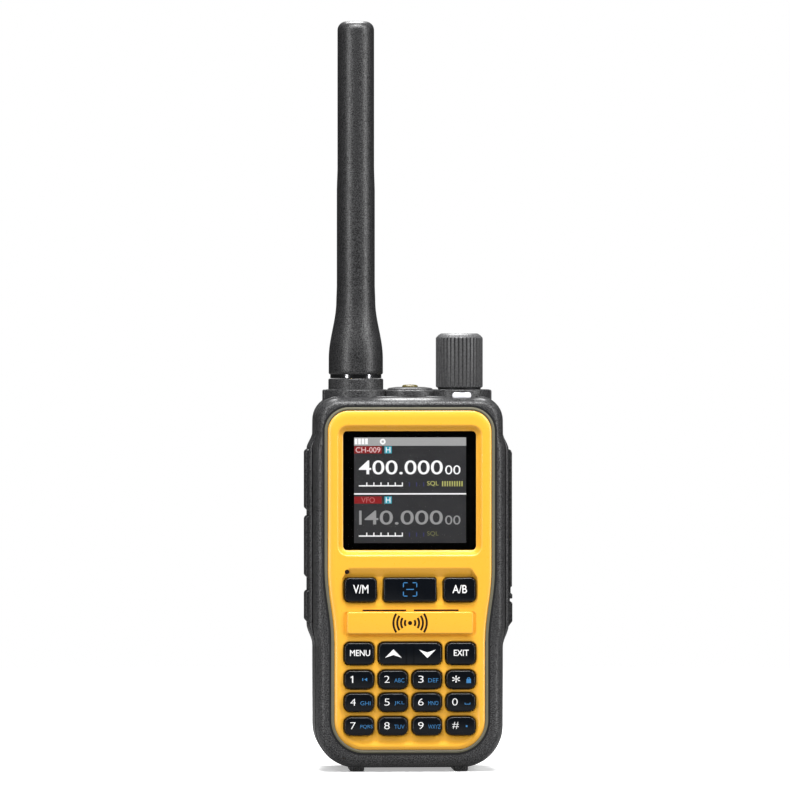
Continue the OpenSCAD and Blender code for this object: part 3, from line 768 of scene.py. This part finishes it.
def yellow_panel():
    """The panel, a dark band round it that paints the shadow line, the seal round it, and what shows through
    its holes.
    """
    attach(panel_skin(), "radio", "yellow", "front_panel")
    # a dark band just outside the seal, laid flush with the case face: painted shadow line where the panel
    # meets the rim
    painted_shadow_band = [(-1.15, FACE_Y + 0.3), (-1.15, FACE_Y - 0.03), (-0.5, FACE_Y - 0.03), (-0.5, FACE_Y + 0.3)]
    attach(panel_ring("panel_painted_shadow_band", painted_shadow_band, DARK), "radio")
    rim = [(-0.62, -16.5), (-0.52, -16.95), (-0.1, -17.12), (0.25, -17.0), (0.3, -16.3), (-0.62, -16.3)]
    attach(panel_ring("panel_seal_ring", rim, SEAL), "radio", "seal", "panel_seal")
    attach(front_wall(), "radio", None, "front_case")
    sound_openings()


def sound_plate():
    """Raised plate between the key rows, with a plain wave mark in place of a name."""
    x0, x1, z0, z1 = SOUND_PLATE
    face_y = PANEL_Y - 1.15

    def outline(inset):
        return rounded(x0 + inset, x1 - inset, z0 + inset, z1 - inset, max(0.15, 0.8 - inset))

    attach(pillow("sound_plate_cap", outline, PANEL_Y + 0.4, face_y, 0.45, YELLOW),
           "radio", "yellow", "sound_plate")
    z, spread, half_width, print_y = (z0 + z1) / 2, 34, 0.3, face_y - 0.03
    for side_name, middle in (("left", 180), ("right", 0)):
        for n in range(4):
            r = 1.5 + 1.1 * n
            loop = (arc(0, z, r + half_width, middle - spread, middle + spread, 10)
                    + arc(0, z, r - half_width, middle + spread, middle - spread, 10))
            attach(loft(f"wave_{side_name}_{n + 1}", [at_y(loop, face_y), at_y(loop, print_y)], PRINT_AND_HOLE_SHADE,
                        close=False), "radio")
    attach(rod_y("wave_dot", 0, z, 0.6, print_y, face_y, PRINT_AND_HOLE_SHADE), "radio")


# ---------------------------------------------------------------- lettering and flat marks
def words(name, text, x0, x1, z0, z1, y, material, body="radio", bold=0.0):
    """Lettering fitted to a box on the XZ plane, facing the front."""
    curve = bpy.data.curves.new(name, "FONT")
    curve.body = text
    curve.offset = bold
    source = bpy.data.objects.new(name + "_source", curve)
    bpy.context.scene.collection.objects.link(source)
    bpy.context.view_layer.update()
    graph = bpy.context.evaluated_depsgraph_get()
    mesh = bpy.data.meshes.new_from_object(source.evaluated_get(graph))
    bpy.data.objects.remove(source)
    points = np.array([v.co for v in mesh.vertices])
    low, high = points.min(0), points.max(0)
    wide = x0 + (points[:, 0] - low[0]) / (high[0] - low[0]) * (x1 - x0)
    tall = z0 + (points[:, 1] - low[1]) / (high[1] - low[1]) * (z1 - z0)
    for vertex, x, z in zip(mesh.vertices, wide, tall):
        vertex.co = (x * MM, y * MM, z * MM)
    obj = bpy.data.objects.new(name, mesh)
    bpy.context.scene.collection.objects.link(obj)
    finish_surface(obj, material)
    attach(obj, body)


def flat_shape(name, points, y, material, body="radio"):
    """A flat polygon on the XZ plane."""
    obj = add_mesh(name, at_y(points, y), [tuple(range(len(points)))], material)
    attach(obj, body)
    return obj


def patch(name, x0, x1, z0, z1, y, material, body="radio"):
    """A flat rectangle on the XZ plane."""
    return flat_shape(name, [(x0, z0), (x1, z0), (x1, z1), (x0, z1)], y, material, body)


# ---------------------------------------------------------------- screen
LIT = {name: glow("lit_" + name, srgb(*tone), 1.0) for name, tone in (
    ("grey", (50, 50, 52)), ("bar", (165, 165, 165)), ("white", (255, 255, 255)), ("pale", (150, 150, 150)),
    ("red", (140, 34, 36)), ("pink", (235, 200, 200)), ("rose", (190, 105, 105)), ("cyan", (70, 165, 185)),
    ("olive", (185, 185, 105)), ("moss", (112, 112, 72)), ("blue", (58, 58, 104)))}
MASK_Y = RECESS_Y + 0.9
GROUND_Y, PRINT_Y, MARK_Y, CORE_Y = [MASK_Y - 0.04 * i for i in range(1, 5)]  # lit layers in front of it


def window_glass():
    """Clear material of the window."""
    material, nodes, _ = new_material("window_glass")
    shader = nodes["Principled BSDF"]
    for setting, value in (("Base Color", (1, 1, 1, 1)), ("Transmission Weight", 1.0), ("Roughness", 0.02),
                           ("IOR", 1.2)):
        shader.inputs[setting].default_value = value
    return material


def window():
    """Glass pane, the dark lip round it and the black mask behind it."""
    x0, x1, z0, z1 = WINDOW

    def outline(inset, r):
        return rounded(x0 + inset, x1 - inset, z0 + inset, z1 - inset, r)

    pane = pillow("window_pane", lambda inset: outline(inset - 0.4, 1.2), RECESS_Y + 0.75, RECESS_Y + 0.05,
                  0.15, window_glass())
    attach(pane, "radio", "window", "display_window")
    half, sink = 0.3, 0.03
    section = ((-half, RECESS_Y + sink), (-half, RECESS_Y), (half, RECESS_Y), (half, RECESS_Y + sink))
    lip = loft("window_lip", [at_y(outline(inset, WINDOW_R - inset), y) for inset, y in section], MASK)
    attach(lip, "radio", "mask")
    margin = 0.6
    mask = patch("display_mask_print", x0 - margin, x1 + margin, z0 - margin, z1 + margin, MASK_Y, MASK)
    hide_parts("display_mask")


def channel(number, top, badge, badge_inset, digits, tone, badge_tone, squelch_tone):
    """One row of the display, hung from its top edge: badge, power mark, frequency, meter, squelch mark."""
    badge_x, power_x, digits_x, digits_h = (-15.9, -8.0), (-7.2, -5.1), (-14.6, 9.6), 4.05
    text_z = (top - 1.8, top - 0.25)
    patch(f"badge_{number}", *badge_x, top - 2.05, top, PRINT_Y, LIT["red"])
    words(f"badge_text_{number}", badge, badge_x[0] + badge_inset, badge_x[1] - badge_inset, *text_z, MARK_Y,
          LIT[badge_tone])
    patch(f"power_{number}", *power_x, top - 2.05, top, PRINT_Y, LIT["cyan"])
    words(f"power_text_{number}", "H", power_x[0] + 0.4, power_x[1] - 0.4, *text_z, MARK_Y, LIT["white"])
    base = top - 8.1
    left, right = digits_x
    if digits.startswith("1"):  # the font's own 1 would be stretched to a block
        patch("frequency_one", left + 0.1, left + 0.8, base, base + digits_h, PRINT_Y, LIT[tone])
        left, digits = left + 1.7, digits[1:]
    words(f"frequency_{number}", digits, left, right, base, base + digits_h, PRINT_Y, LIT[tone], bold=0.004)
    words(f"fine_steps_{number}", "00", 10.3, 14.7, base, base + 2.6, PRINT_Y, LIT[tone])
    line = base - 3.45
    patch(f"meter_line_{number}", digits_x[0], -2.2, line, line + 0.35, PRINT_Y, LIT["white"])
    for i in range(9):
        x = -12.3 + i * 2.05
        shade = LIT["white" if i < 6 else "blue"]
        patch(f"meter_tick_{number}_{i + 1}", x - 0.15, x + 0.15, line, line + 1.15, MARK_Y, shade)
    words(f"squelch_{number}", "SQL", 5.1, 8.4, line + 0.05, line + 1.5, PRINT_Y, LIT[squelch_tone])


def display():
    """Lit ground, status bar, the two channels and the line between them."""
    x0, x1, z0, z1 = SCREEN
    patch("lit_ground", x0, x1, z0, z1, GROUND_Y, LIT["grey"])
    patch("status_bar", x0, x1, 94.0, z1, PRINT_Y, LIT["bar"])
    for i in range(4):
        left = x0 + 0.15 + i
        patch(f"charge_block_{i + 1}", left, left + 0.8, 94.4, 96.1, MARK_Y, LIT["white"])
    dot_x, dot_z, core = -7.7, 95.2, 0.3
    flat_shape("status_dot", circle(dot_x, dot_z, 0.85, 20), MARK_Y, LIT["white"])
    patch("status_dot_core", dot_x - core, dot_x + core, dot_z - core, dot_z + core, CORE_Y, LIT["bar"])
    channel(1, 93.85, "CH-009", 0.4, "400.000", "white", "pink", "olive")
    channel(2, 79.4, "VFO", 2.0, "140.000", "pale", "rose", "moss")
    for i in range(9):
        left = 9.4 + i * 0.7
        patch(f"squelch_bar_{i + 1}", left, left + 0.34, 82.3, 83.8, PRINT_Y, LIT["olive"])
    patch("divider", x0, x1, 79.95, 80.35, MARK_Y, LIT["white"])


# ---------------------------------------------------------------- keys
LEGEND_Y = KEY_Y - 0.015
# lettering of the wide keys, from the centre of the key: left, right, bottom, top, boldness
TITLES = {
    "vm": ("V/M", -2.2, 2.2, -1.05, 1.45, 0.008), "ab": ("A/B", -2.1, 2.1, -1.05, 1.35, 0.008),
    "menu": ("MENU", -2.645, 3.155, -0.65, 1.1, 0.01), "exit": ("EXIT", -2.055, 2.245, -0.65, 1.1, 0.01),
}
LETTERS = {"2": "ABC", "3": "DEF", "4": "GHI", "5": "JKL", "6": "MNO", "7": "PQRS", "8": "TUV", "9": "WXYZ"}


def key_caps():
    """Glossy black caps with rounded edges; two fine lines divide the rocker."""
    line_x, line_hw = 1.1, 0.09
    for key in KEYS:
        def outline(inset, key=key):
            return rounded(*key_bounds(key, -inset), max(0.25, KEYS[key][4] - inset), 7)

        cap = pillow(key + "_cap", outline, -14.6, KEY_Y, 0.55, KEY)
        if key == "key_rocker":
            for _, side in SIDES:
                x = side * line_x
                cut_box(cap, x - line_hw, x + line_hw, KEY_Y - 1, KEY_Y + 0.25, 30, 40)
            finish_surface(cap, KEY)
        attach(cap, key, "key", key)


def key_words(name, text, key, x0, x1, z0, z1, material, bold):
    """Lettering on a key, placed from its centre."""
    x, z = KEYS[key][:2]
    words(name, text, x + x0, x + x1, z + z0, z + z1, LEGEND_Y, material, key, bold)


def key_shape(name, key, points, material=LEGEND_BLUE):
    """A flat polygon on a key, placed from its centre."""
    x, z = KEYS[key][:2]
    flat_shape(name, [(x + px, z + pz) for px, pz in points], LEGEND_Y, material, key)


def key_bar(name, key, x0, x1, z0, z1):
    """A blue bar on a key, placed from its centre."""
    key_shape(name, key, [(x0, z0), (x1, z0), (x1, z1), (x0, z1)])


def legends():
    """White and blue marks on the keys."""
    for tag, (text, *place, bold) in TITLES.items():
        key_words("text_" + tag, text, "key_" + tag, *place, LEGEND, bold)
    chevron = ((-2.4, -1.15), (0, 1.25), (2.4, -1.15), (0, -0.35))
    for name, x, way in (("up", -4.8, 1), ("down", 5.0, -1)):
        key_shape("arrow_" + name, "key_rocker", [(x + px, way * pz) for px, pz in chevron], LEGEND)
    scan_mark()
    for names in PAD:
        for tag in names:
            pad_legend(tag)
    small_marks()


def pad_legend(tag):
    """Sign of a key on the pad, with its letters in blue beside it."""
    key = "key_" + tag
    sign, wide, left, bold = {"star": ("*", 2.2, -2.5, 0.0), "hash": ("#", 1.9, -2.5, -0.012),
                              "0": ("0", 1.55, -2.5, -0.012)}.get(tag, (tag, 1.55, -2.55, -0.012))
    low, tall = -0.85, 2.0
    if sign == "1":  # drawn, as the font's own 1 would be stretched to a block
        one = ((0.5, 0), (0.82, 0), (0.82, tall), (0.56, tall), (0.1, 1.62), (0.1, 1.34), (0.5, 1.6))
        key_shape("text_1", key, [(left + px, low + pz) for px, pz in one], LEGEND)
    else:
        key_words("text_" + tag, sign, key, left, left + wide, low, low + tall, LEGEND, bold)
    if tag in LETTERS:
        start, span = 0.35, 2.9 if len(LETTERS[tag]) == 3 else 3.5
        key_words("letters_" + tag, LETTERS[tag], key, start, start + span, -0.75, 0.4, LEGEND_BLUE, -0.008)


def scan_mark():
    """A broken frame with a dash in its middle."""
    rise, half, thick = 0.1, 2.05, 0.26
    bars = []
    for sx in (-1, 1):
        for sz in (-1, 1):
            x, z = sx * half, rise + sz * half
            bars.append((x, x - sx * 1.3, z, z - sz * thick))
            bars.append((x, x - sx * thick, z, z - sz * 1.4))
    bars.append((-1.1, 1.1, rise - thick / 2, rise + thick / 2))
    for i, (xa, xb, za, zb) in enumerate(bars):
        key_bar(f"scan_bar_{i + 1}", "key_scan", *sorted((xa, xb)), *sorted((za, zb)))


def small_marks():
    """Lock, space, dot and arrow marks in blue at the right of four keys."""
    key_bar("lock_body", "key_star", 1.6, 2.9, -1.0, 0.15)
    key_shape("lock_shackle", "key_star", arc(2.25, 0.15, 0.5, 0, 180, 8) + arc(2.25, 0.15, 0.27, 180, 0, 8))
    key_bar("space_base", "key_0", 1.1, 2.7, -0.6, -0.42)
    key_bar("space_left", "key_0", 1.1, 1.28, -0.42, -0.1)
    key_bar("space_right", "key_0", 2.52, 2.7, -0.42, -0.1)
    key_bar("dot_mark", "key_hash", 1.4, 1.9, -0.3, 0.2)
    key_bar("one_bar", "key_1", 0.9, 1.15, -0.3, 0.5)
    key_shape("one_arrow", "key_1", [(1.5, 0.1), (2.3, 0.6), (2.3, -0.4)])


def side_keys():
    """Three slabs on the left: rounded upper end, chamfered lower end, and ribs on the upper two."""
    root, face, chamfer, r = -26.0, -29.95, 1.05, 1.1
    for key, (low, high) in SIDE_KEYS.items():
        node = "side_key_" + key
        profile = ([(root, low), (face + chamfer, low), (face, low + chamfer)]
                   + arc(face + r, high - r, r, 180, 90, 6) + [(root, high)])
        attach(side_slab(node + "_slab", profile, SIDE_KEY, 0.45, 4), node, "side_key", node)
        if key == "lower":
            continue
        for i in range(3):
            z = (low + high) / 2 + (i - 1) * 1.6
            rib = box(f"grip_{key}_{i + 1}", -SIDE_X, -29.6, -9.0, -3.6, z - 0.3, z + 0.3, SIDE_KEY, 0.12)
            attach(rib, node)


# ---------------------------------------------------------------- top of the radio
def mast_radius(z):
    """Radius of the antenna sleeve: a straight foot, a flare and a slim mast that steps in twice."""
    def share(start, length):
        return np.clip((z - start) / length, 0, 1)

    flare = (1 - math.cos(math.pi * share(119, 17))) / 2
    return float(7.85 - 2.2 * flare - 0.15 * share(136, 4) - 0.2 * share(168, 6))


def antenna():
    """Collar, shiny ring and the rubber sleeve."""
    collar_top, ring_z = 113.3, (113.4, 114.5)
    collar = ((4.2, DECK_Z - 0.3), (7.95, DECK_Z - 0.3), (7.95, collar_top - 0.3), (7.7, collar_top),
              (4.2, collar_top))
    attach(lathe("antenna_collar_ring", collar, ANTENNA_X, TOP_Y, CASE), "radio", "case", "antenna_collar")
    ring = ((3.2, ring_z[0]), (7.3, ring_z[0]), (7.4, ring_z[0] + 0.1), (7.4, ring_z[1]), (3.2, ring_z[1]))
    attach(lathe("antenna_ring", ring, ANTENNA_X, TOP_Y, SHINY), "antenna", "chromed", "antenna_ferrule")
    tip_r = 2.5
    mast = [(1.1, ring_z[1]), (7.3, ring_z[1]), (7.65, ring_z[1] + 0.1), (7.85, ring_z[1] + 0.45)]
    mast += [(mast_radius(z), z) for z in np.arange(116.0, 214.0, 0.75)]
    mast += arc(mast_radius(200) - tip_r, ANTENNA_TOP - tip_r, tip_r, 0, 90, 10)
    attach(lathe("antenna_mast", mast, ANTENNA_X, TOP_Y, ANTENNA), "antenna", "antenna", "antenna_sleeve")


def knob():
    """Ribbed cap: the radius rises and falls round the grip, with a smooth chamfer above it."""
    ribs, per_rib = 36, 12
    count = ribs * per_rib
    bottom, top = KNOB_Z

    def ring(r, z, depth):
        points = []
        for j in range(count):
            wave = math.cos(2 * math.pi * j / per_rib)
            radius = r - depth * (1 - smoothstep(wave, -0.95, -0.2))
            a = 2 * math.pi * j / count
            points.append((KNOB_X + radius * math.cos(a), TOP_Y + radius * math.sin(a), z))
        return points

    # radius, height above the bottom or below the top, and depth of the ribs
    foot = ((2.6, 0, 0), (6.1, 0, 0), (6.45, 0.1, 0), (6.7, 0.3, 0.1), (6.8, 0.5, 0.5))
    head = ((6.8, 1.6, 0.5), (6.78, 1.35, 0.2), (6.7, 1.2, 0), (6.1, 0.55, 0), (5.5, 0.15, 0), (5.2, 0.02, 0),
            (4.7, 0, 0), (4.3, 0.05, 0), (4.0, 0.2, 0), (2.0, 0.25, 0), (0.02, 0.25, 0))
    sections = [ring(r, bottom + rise, depth) for r, rise, depth in foot]
    sections += [ring(r, top - drop, depth) for r, drop, depth in head]
    cap = loft("volume_knob_cap", sections, KNOB, close=False, smooth=50)
    attach(cap, "knob", "knob", "volume_knob")
    # a near-black skirt closes the gap between the deck and the knob: painted shadow under the knob's rim
    low, high = DECK_Z + 0.05, bottom + 0.05
    skirt = lathe("knob_shadow_skirt", ((2.6, low), (6.2, low), (6.2, high), (2.6, high)), KNOB_X, TOP_Y, DARK)
    attach(skirt, "knob")


def lamp():
    """Black bezel and olive lens of the lamp; the profiles rise from the deck."""
    bezel = ((2.4, -0.3), (6.6, -0.3), (6.5, 0.2), (6.0, 0.42), (4.2, 0.68), (3.5, 0.7), (3.1, 0.55),
             (2.4, 0.5))
    dome = ((0.02, -1.7), (2.3, -1.7), (2.3, 0.85), (2.2, 1.05), (1.9, 1.25), (1.2, 1.36), (0.02, 1.4))
    for name, steps, material, slot_name, node in (("lamp_bezel", bezel, CASE, "case", "torch_bezel"),
                                                   ("lamp_lens", dome, LAMP, "torch", "torch_lens")):
        profile = [(r, DECK_Z + rise) for r, rise in steps]
        attach(lathe(name, profile, LAMP_X, TOP_Y, material), "radio", slot_name, node)


def status_light():
    """Milky light under the knob, bent round the deck."""
    def outline(inset):
        return rounded(12.4 + inset, 18 - inset, 107.35 + inset, 109.5 - inset, max(0.3, 1.05 - inset))

    light = pillow("status_light", outline, -12.5, -14.2, 0.35, LENS, crown=0.06)
    bend = LOBE_R + 0.25
    for vertex in light.data.vertices:
        across = vertex.co.x / MM - KNOB_X
        vertex.co.y += (bend - math.sqrt(bend ** 2 - across ** 2)) * MM
    attach(light, "radio", "lens", "status_lens")


# ---------------------------------------------------------------- right side
def jack_flap():
    """Rubber flap over the sockets, with its plugs and pull tab."""
    cover = ((28.95, 52.9), (29.5, 52.9), (29.9, 53.4), (29.9, 91.8), (29.6, 92.6), (28.95, 93.0))
    pieces = [side_slab("jack_flap_cover", cover, RUBBER, 0.25),
              box("flap_tab", 29.7, SIDE_X, SIDE_Y[0] + 1.5, SIDE_Y[1] - 1.5, 89.0, 91.6, RUBBER, 0.14)]
    pieces += [rod_x(f"flap_plug_{i + 1}", 27.3, 29.2, JACK_Y, z, 2.4, RUBBER) for i, z in enumerate(JACK_Z)]
    for piece in pieces:
        attach(piece, "flap", "rubber", "jack_flap")


def flap_anchor():
    """Block under the flap that holds its end: lug, block and the web between them."""
    lug = ((28.8, 49.7), (SIDE_X, 49.8), (SIDE_X, 50.9), (29.5, 51.5), (28.8, 51.5))
    block = ((28.8, 41.6), (29.9, 43.1), (SIDE_X, 43.4), (SIDE_X, 48.3), (29.7, 48.8), (28.8, 49.0))
    web = box("anchor_web", 28.8, 29.3, SIDE_Y[0] + 0.3, SIDE_Y[1] - 0.3, 48.8, 49.9, RUBBER)
    for piece in (side_slab("anchor_lug", lug, RUBBER, 0.15), side_slab("anchor_block", block, RUBBER), web):
        attach(piece, "radio", "rubber", "flap_anchor")


def flap_neck():
    """Thin strip between the anchor and the flap."""
    x0, x1, inset, low, step, count = 29.05, 29.55, 0.8, 51.3, 0.16, 13
    y0, y1 = SIDE_Y[0] + inset, SIDE_Y[1] - inset
    section = [(x0, y0), (x1, y0), (x1, y1), (x0, y1)]
    neck = loft("flap_neck", [at_z(section, low + i * step) for i in range(count)], RUBBER, close=False)
    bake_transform(neck)


# ---------------------------------------------------------------- battery
def battery_tray():
    """Front half of the pack, with the slots that take the hooks and the contact openings."""
    edges = ((0.3, PACK_Y), (0, PACK_Y + 0.3), (0, LID_Y - 0.3), (0.3, LID_Y - 0.05))
    tray = loft("battery_tray", [at_y(case_outline(BACK_INSET + d), y) for d, y in edges], CASE, close=False,
                smooth=40)
    cut_box(tray, -FAR, FAR, 0, 30, BATTERY_Z, 120)
    for _, side in SIDES:
        for z in HOOK_Z:
            cut_box(tray, *sorted((side * 19.7, side * 22.9)), 5, 8.7, z - 0.3, z + 18.3)
    cut_contacts(tray)
    finish_surface(tray, CASE, 40)
    return tray


def battery_lid():
    """Back half of the pack, with charging holes, a label recess and grip grooves."""
    loops = [at_y(case_outline(BACK_INSET + 0.3), LID_Y), at_y(case_outline(BACK_INSET), LID_Y + 0.25)]
    loops += [at_y(case_outline(BACK_INSET + inset), BACK_Y - drop) for inset, drop in round_over(1.9, 6)]
    lid = loft("battery_lid", loops, CASE, close=False, smooth=40)
    cut_box(lid, -FAR, FAR, 0, 30, BATTERY_Z, 120)
    for _, side in SIDES:
        cut_hole(lid, side * CHARGE_X, CHARGE_Z, 2.5, 10)
    cut_box(lid, -18, 18, BACK_Y - 0.2, 20, 30, 62)
    for i in range(5):
        z = 70 + i * 2.4
        cut_box(lid, -16, 16, BACK_Y - 0.5, 20, z, z + 1)
    finish_surface(lid, CASE, 40)
    return lid


def battery():
    """Both halves of the pack, its plain label and the latch above it."""
    attach(battery_tray(), "battery", "case", "battery_shell")
    attach(battery_lid(), "battery", "case", "battery_cover")
    label = box("battery_label", -17.6, 17.6, BACK_Y - 0.3, BACK_Y - 0.15, 30.4, 61.6, DARK, 0.05)
    attach(label, "battery", "case")
    slider = box("latch_slider", -LATCH_HW, LATCH_HW, 16.3, HUMP_Y, *LATCH_Z, SIDE_KEY, 0.25)
    attach(slider, "latch", "side_key", "battery_latch")
    for i in range(4):
        z = LATCH_Z[0] + 0.5 + i
        rib = box(f"latch_rib_{i + 1}", -6.5, 6.5, HUMP_Y - 0.2, HUMP_Y + 0.6, z, z + 0.5, SIDE_KEY, 0.15)
        attach(rib, "latch", "side_key")


# ---------------------------------------------------------------- CAD pieces shown as they are
INNER = {
    "display_module": DARK, "speaker": DARK, "microphone": STEEL, "main_board": BOARD, "screening_can": STEEL,
    "keypad_mat": SILICONE, "chassis_screws": STEEL, "antenna_socket": GOLD, "volume_control": STEEL,
    "jack_block": DARK, "battery_terminals": GOLD, "side_switches": BOARD, "knob_shaft": STEEL,
    "antenna_radiator": COPPER, "battery_cells": CELL, "battery_board": BOARD, "pack_contacts": GOLD,
    "charge_contacts": GOLD,
}


def inner_pieces():
    """Plain materials for the CAD pieces inside the radio."""
    for node, material in INNER.items():
        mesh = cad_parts[node].data
        mesh.materials.clear()
        mesh.materials.append(material)


# ---------------------------------------------------------------- studio
def area_light(name, place, target, size, power):
    """A white rectangular light that faces its target."""
    light = bpy.data.lights.new(name, "AREA")
    light.shape = "RECTANGLE"
    light.size, light.size_y = size
    light.energy = power
    obj = bpy.data.objects.new(name, light)
    obj.location = place
    obj.rotation_mode = "QUATERNION"
    obj.rotation_quaternion = (Vector(target) - Vector(place)).to_track_quat("-Z", "Y")
    bpy.context.scene.collection.objects.link(obj)


def floor_material():
    """White floor that fades out into the white surroundings."""
    material = plastic("floor_pale", (0.9, 0.9, 0.9), 0.7, spread=0.01, grain=40, bump=0.0, mottle=3)
    nodes, links = material.node_tree.nodes, material.node_tree.links
    shader = nodes["Principled BSDF"]
    shader.inputs["Emission Color"].default_value = (1, 1, 1, 1)
    shader.inputs["Emission Strength"].default_value = 0.4
    place = nodes.new("ShaderNodeTexCoord")
    length = nodes.new("ShaderNodeVectorMath")
    length.operation = "LENGTH"
    links.new(place.outputs["Object"], length.inputs[0])
    fade = nodes.new("ShaderNodeMapRange")
    fade.inputs["From Min"].default_value = 0.1
    fade.inputs["From Max"].default_value = 0.6
    fade.inputs["To Min"].default_value = 1.0
    fade.inputs["To Max"].default_value = 0.0
    links.new(length.outputs["Value"], fade.inputs["Value"])
    ray = nodes.new("ShaderNodeLightPath")
    seen = nodes.new("ShaderNodeMapRange")
    seen.inputs["To Min"].default_value = 0.25
    links.new(ray.outputs["Is Camera Ray"], seen.inputs["Value"])
    alpha = nodes.new("ShaderNodeMath")
    alpha.operation = "MULTIPLY"
    links.new(fade.outputs["Result"], alpha.inputs[0])
    links.new(seen.outputs["Result"], alpha.inputs[1])
    links.new(alpha.outputs["Value"], shader.inputs["Alpha"])
    return material


# name, azimuth and elevation in degrees, distance, size, power
STUDIO_LIGHTS = (
    ("left_box", -42, 40, 1.1, (0.3, 0.5), 4.0),
    ("right_box", 52, 36, 1.1, (0.3, 0.5), 6.0),
    ("left_strip", -44, 4, 1.1, (0.07, 0.6), 3.3),
    ("right_strip", 60, 4, 1.1, (0.07, 0.6), 3.3),
    ("top_box", 0, 64, 0.5, (0.3, 0.12), 3.3),
    ("back_box", 180, 60, 1.2, (0.6, 0.3), 22.0),
)


def studio():
    """White surroundings, a pale floor and soft boxes."""
    world = bpy.data.worlds.new("studio")
    bpy.context.scene.world = world
    world.use_nodes = True
    nodes, links = world.node_tree.nodes, world.node_tree.links
    ray = nodes.new("ShaderNodeLightPath")
    level = nodes.new("ShaderNodeMapRange")
    level.inputs["To Min"].default_value = 0.03
    level.inputs["To Max"].default_value = 1.0
    links.new(ray.outputs["Is Camera Ray"], level.inputs["Value"])
    links.new(level.outputs["Result"], nodes["Background"].inputs["Strength"])
    nodes["Background"].inputs["Color"].default_value = (1, 1, 1, 1)
    floor = add_mesh("floor", [(-700, -700, 0), (700, -700, 0), (700, 700, 0), (-700, 700, 0)],
                     [(0, 1, 2, 3)], floor_material())
    middle = (0, 0, 0.11)
    for name, turn, lift, far, size, power in STUDIO_LIGHTS:
        turn, lift = math.radians(turn), math.radians(lift)
        place = (math.sin(turn) * math.cos(lift) * far, -math.cos(turn) * math.cos(lift) * far,
                 middle[2] + math.sin(lift) * far)
        area_light(name, place, middle, size, power)
    bpy.context.scene.view_settings.view_transform = "Standard"


def camera():
    """A long lens nearly square to the front, a little to the left."""
    data = bpy.data.cameras.new("camera")
    data.lens = 300
    data.sensor_width = 36
    tall = 0.2287
    distance = data.lens / data.sensor_width * tall
    azimuth, elevation = math.radians(-3.0), math.radians(0.5)
    back = Vector((math.sin(azimuth) * math.cos(elevation), -math.cos(azimuth) * math.cos(elevation),
                   math.sin(elevation)))
    target = Vector((-0.0039, -0.01, 0.1083))
    obj = bpy.data.objects.new("camera", data)
    obj.location = target + back * distance
    obj.rotation_mode = "QUATERNION"
    obj.rotation_quaternion = (-back).to_track_quat("-Z", "Y")
    data.clip_start, data.clip_end = 0.01, 20
    bpy.context.scene.collection.objects.link(obj)
    bpy.context.scene.camera = obj


case_skin()
deck()
feet("case_foot", "radio", "front_case", -13, 2, 3)
feet("battery_foot", "battery", "battery_shell", 9, 14, 4)
back_shell()
yellow_panel()
sound_plate()
window()
display()
key_caps()
legends()
side_keys()
antenna()
knob()
lamp()
status_light()
jack_flap()
flap_anchor()
flap_neck()
battery()
inner_pieces()
studio()
camera()
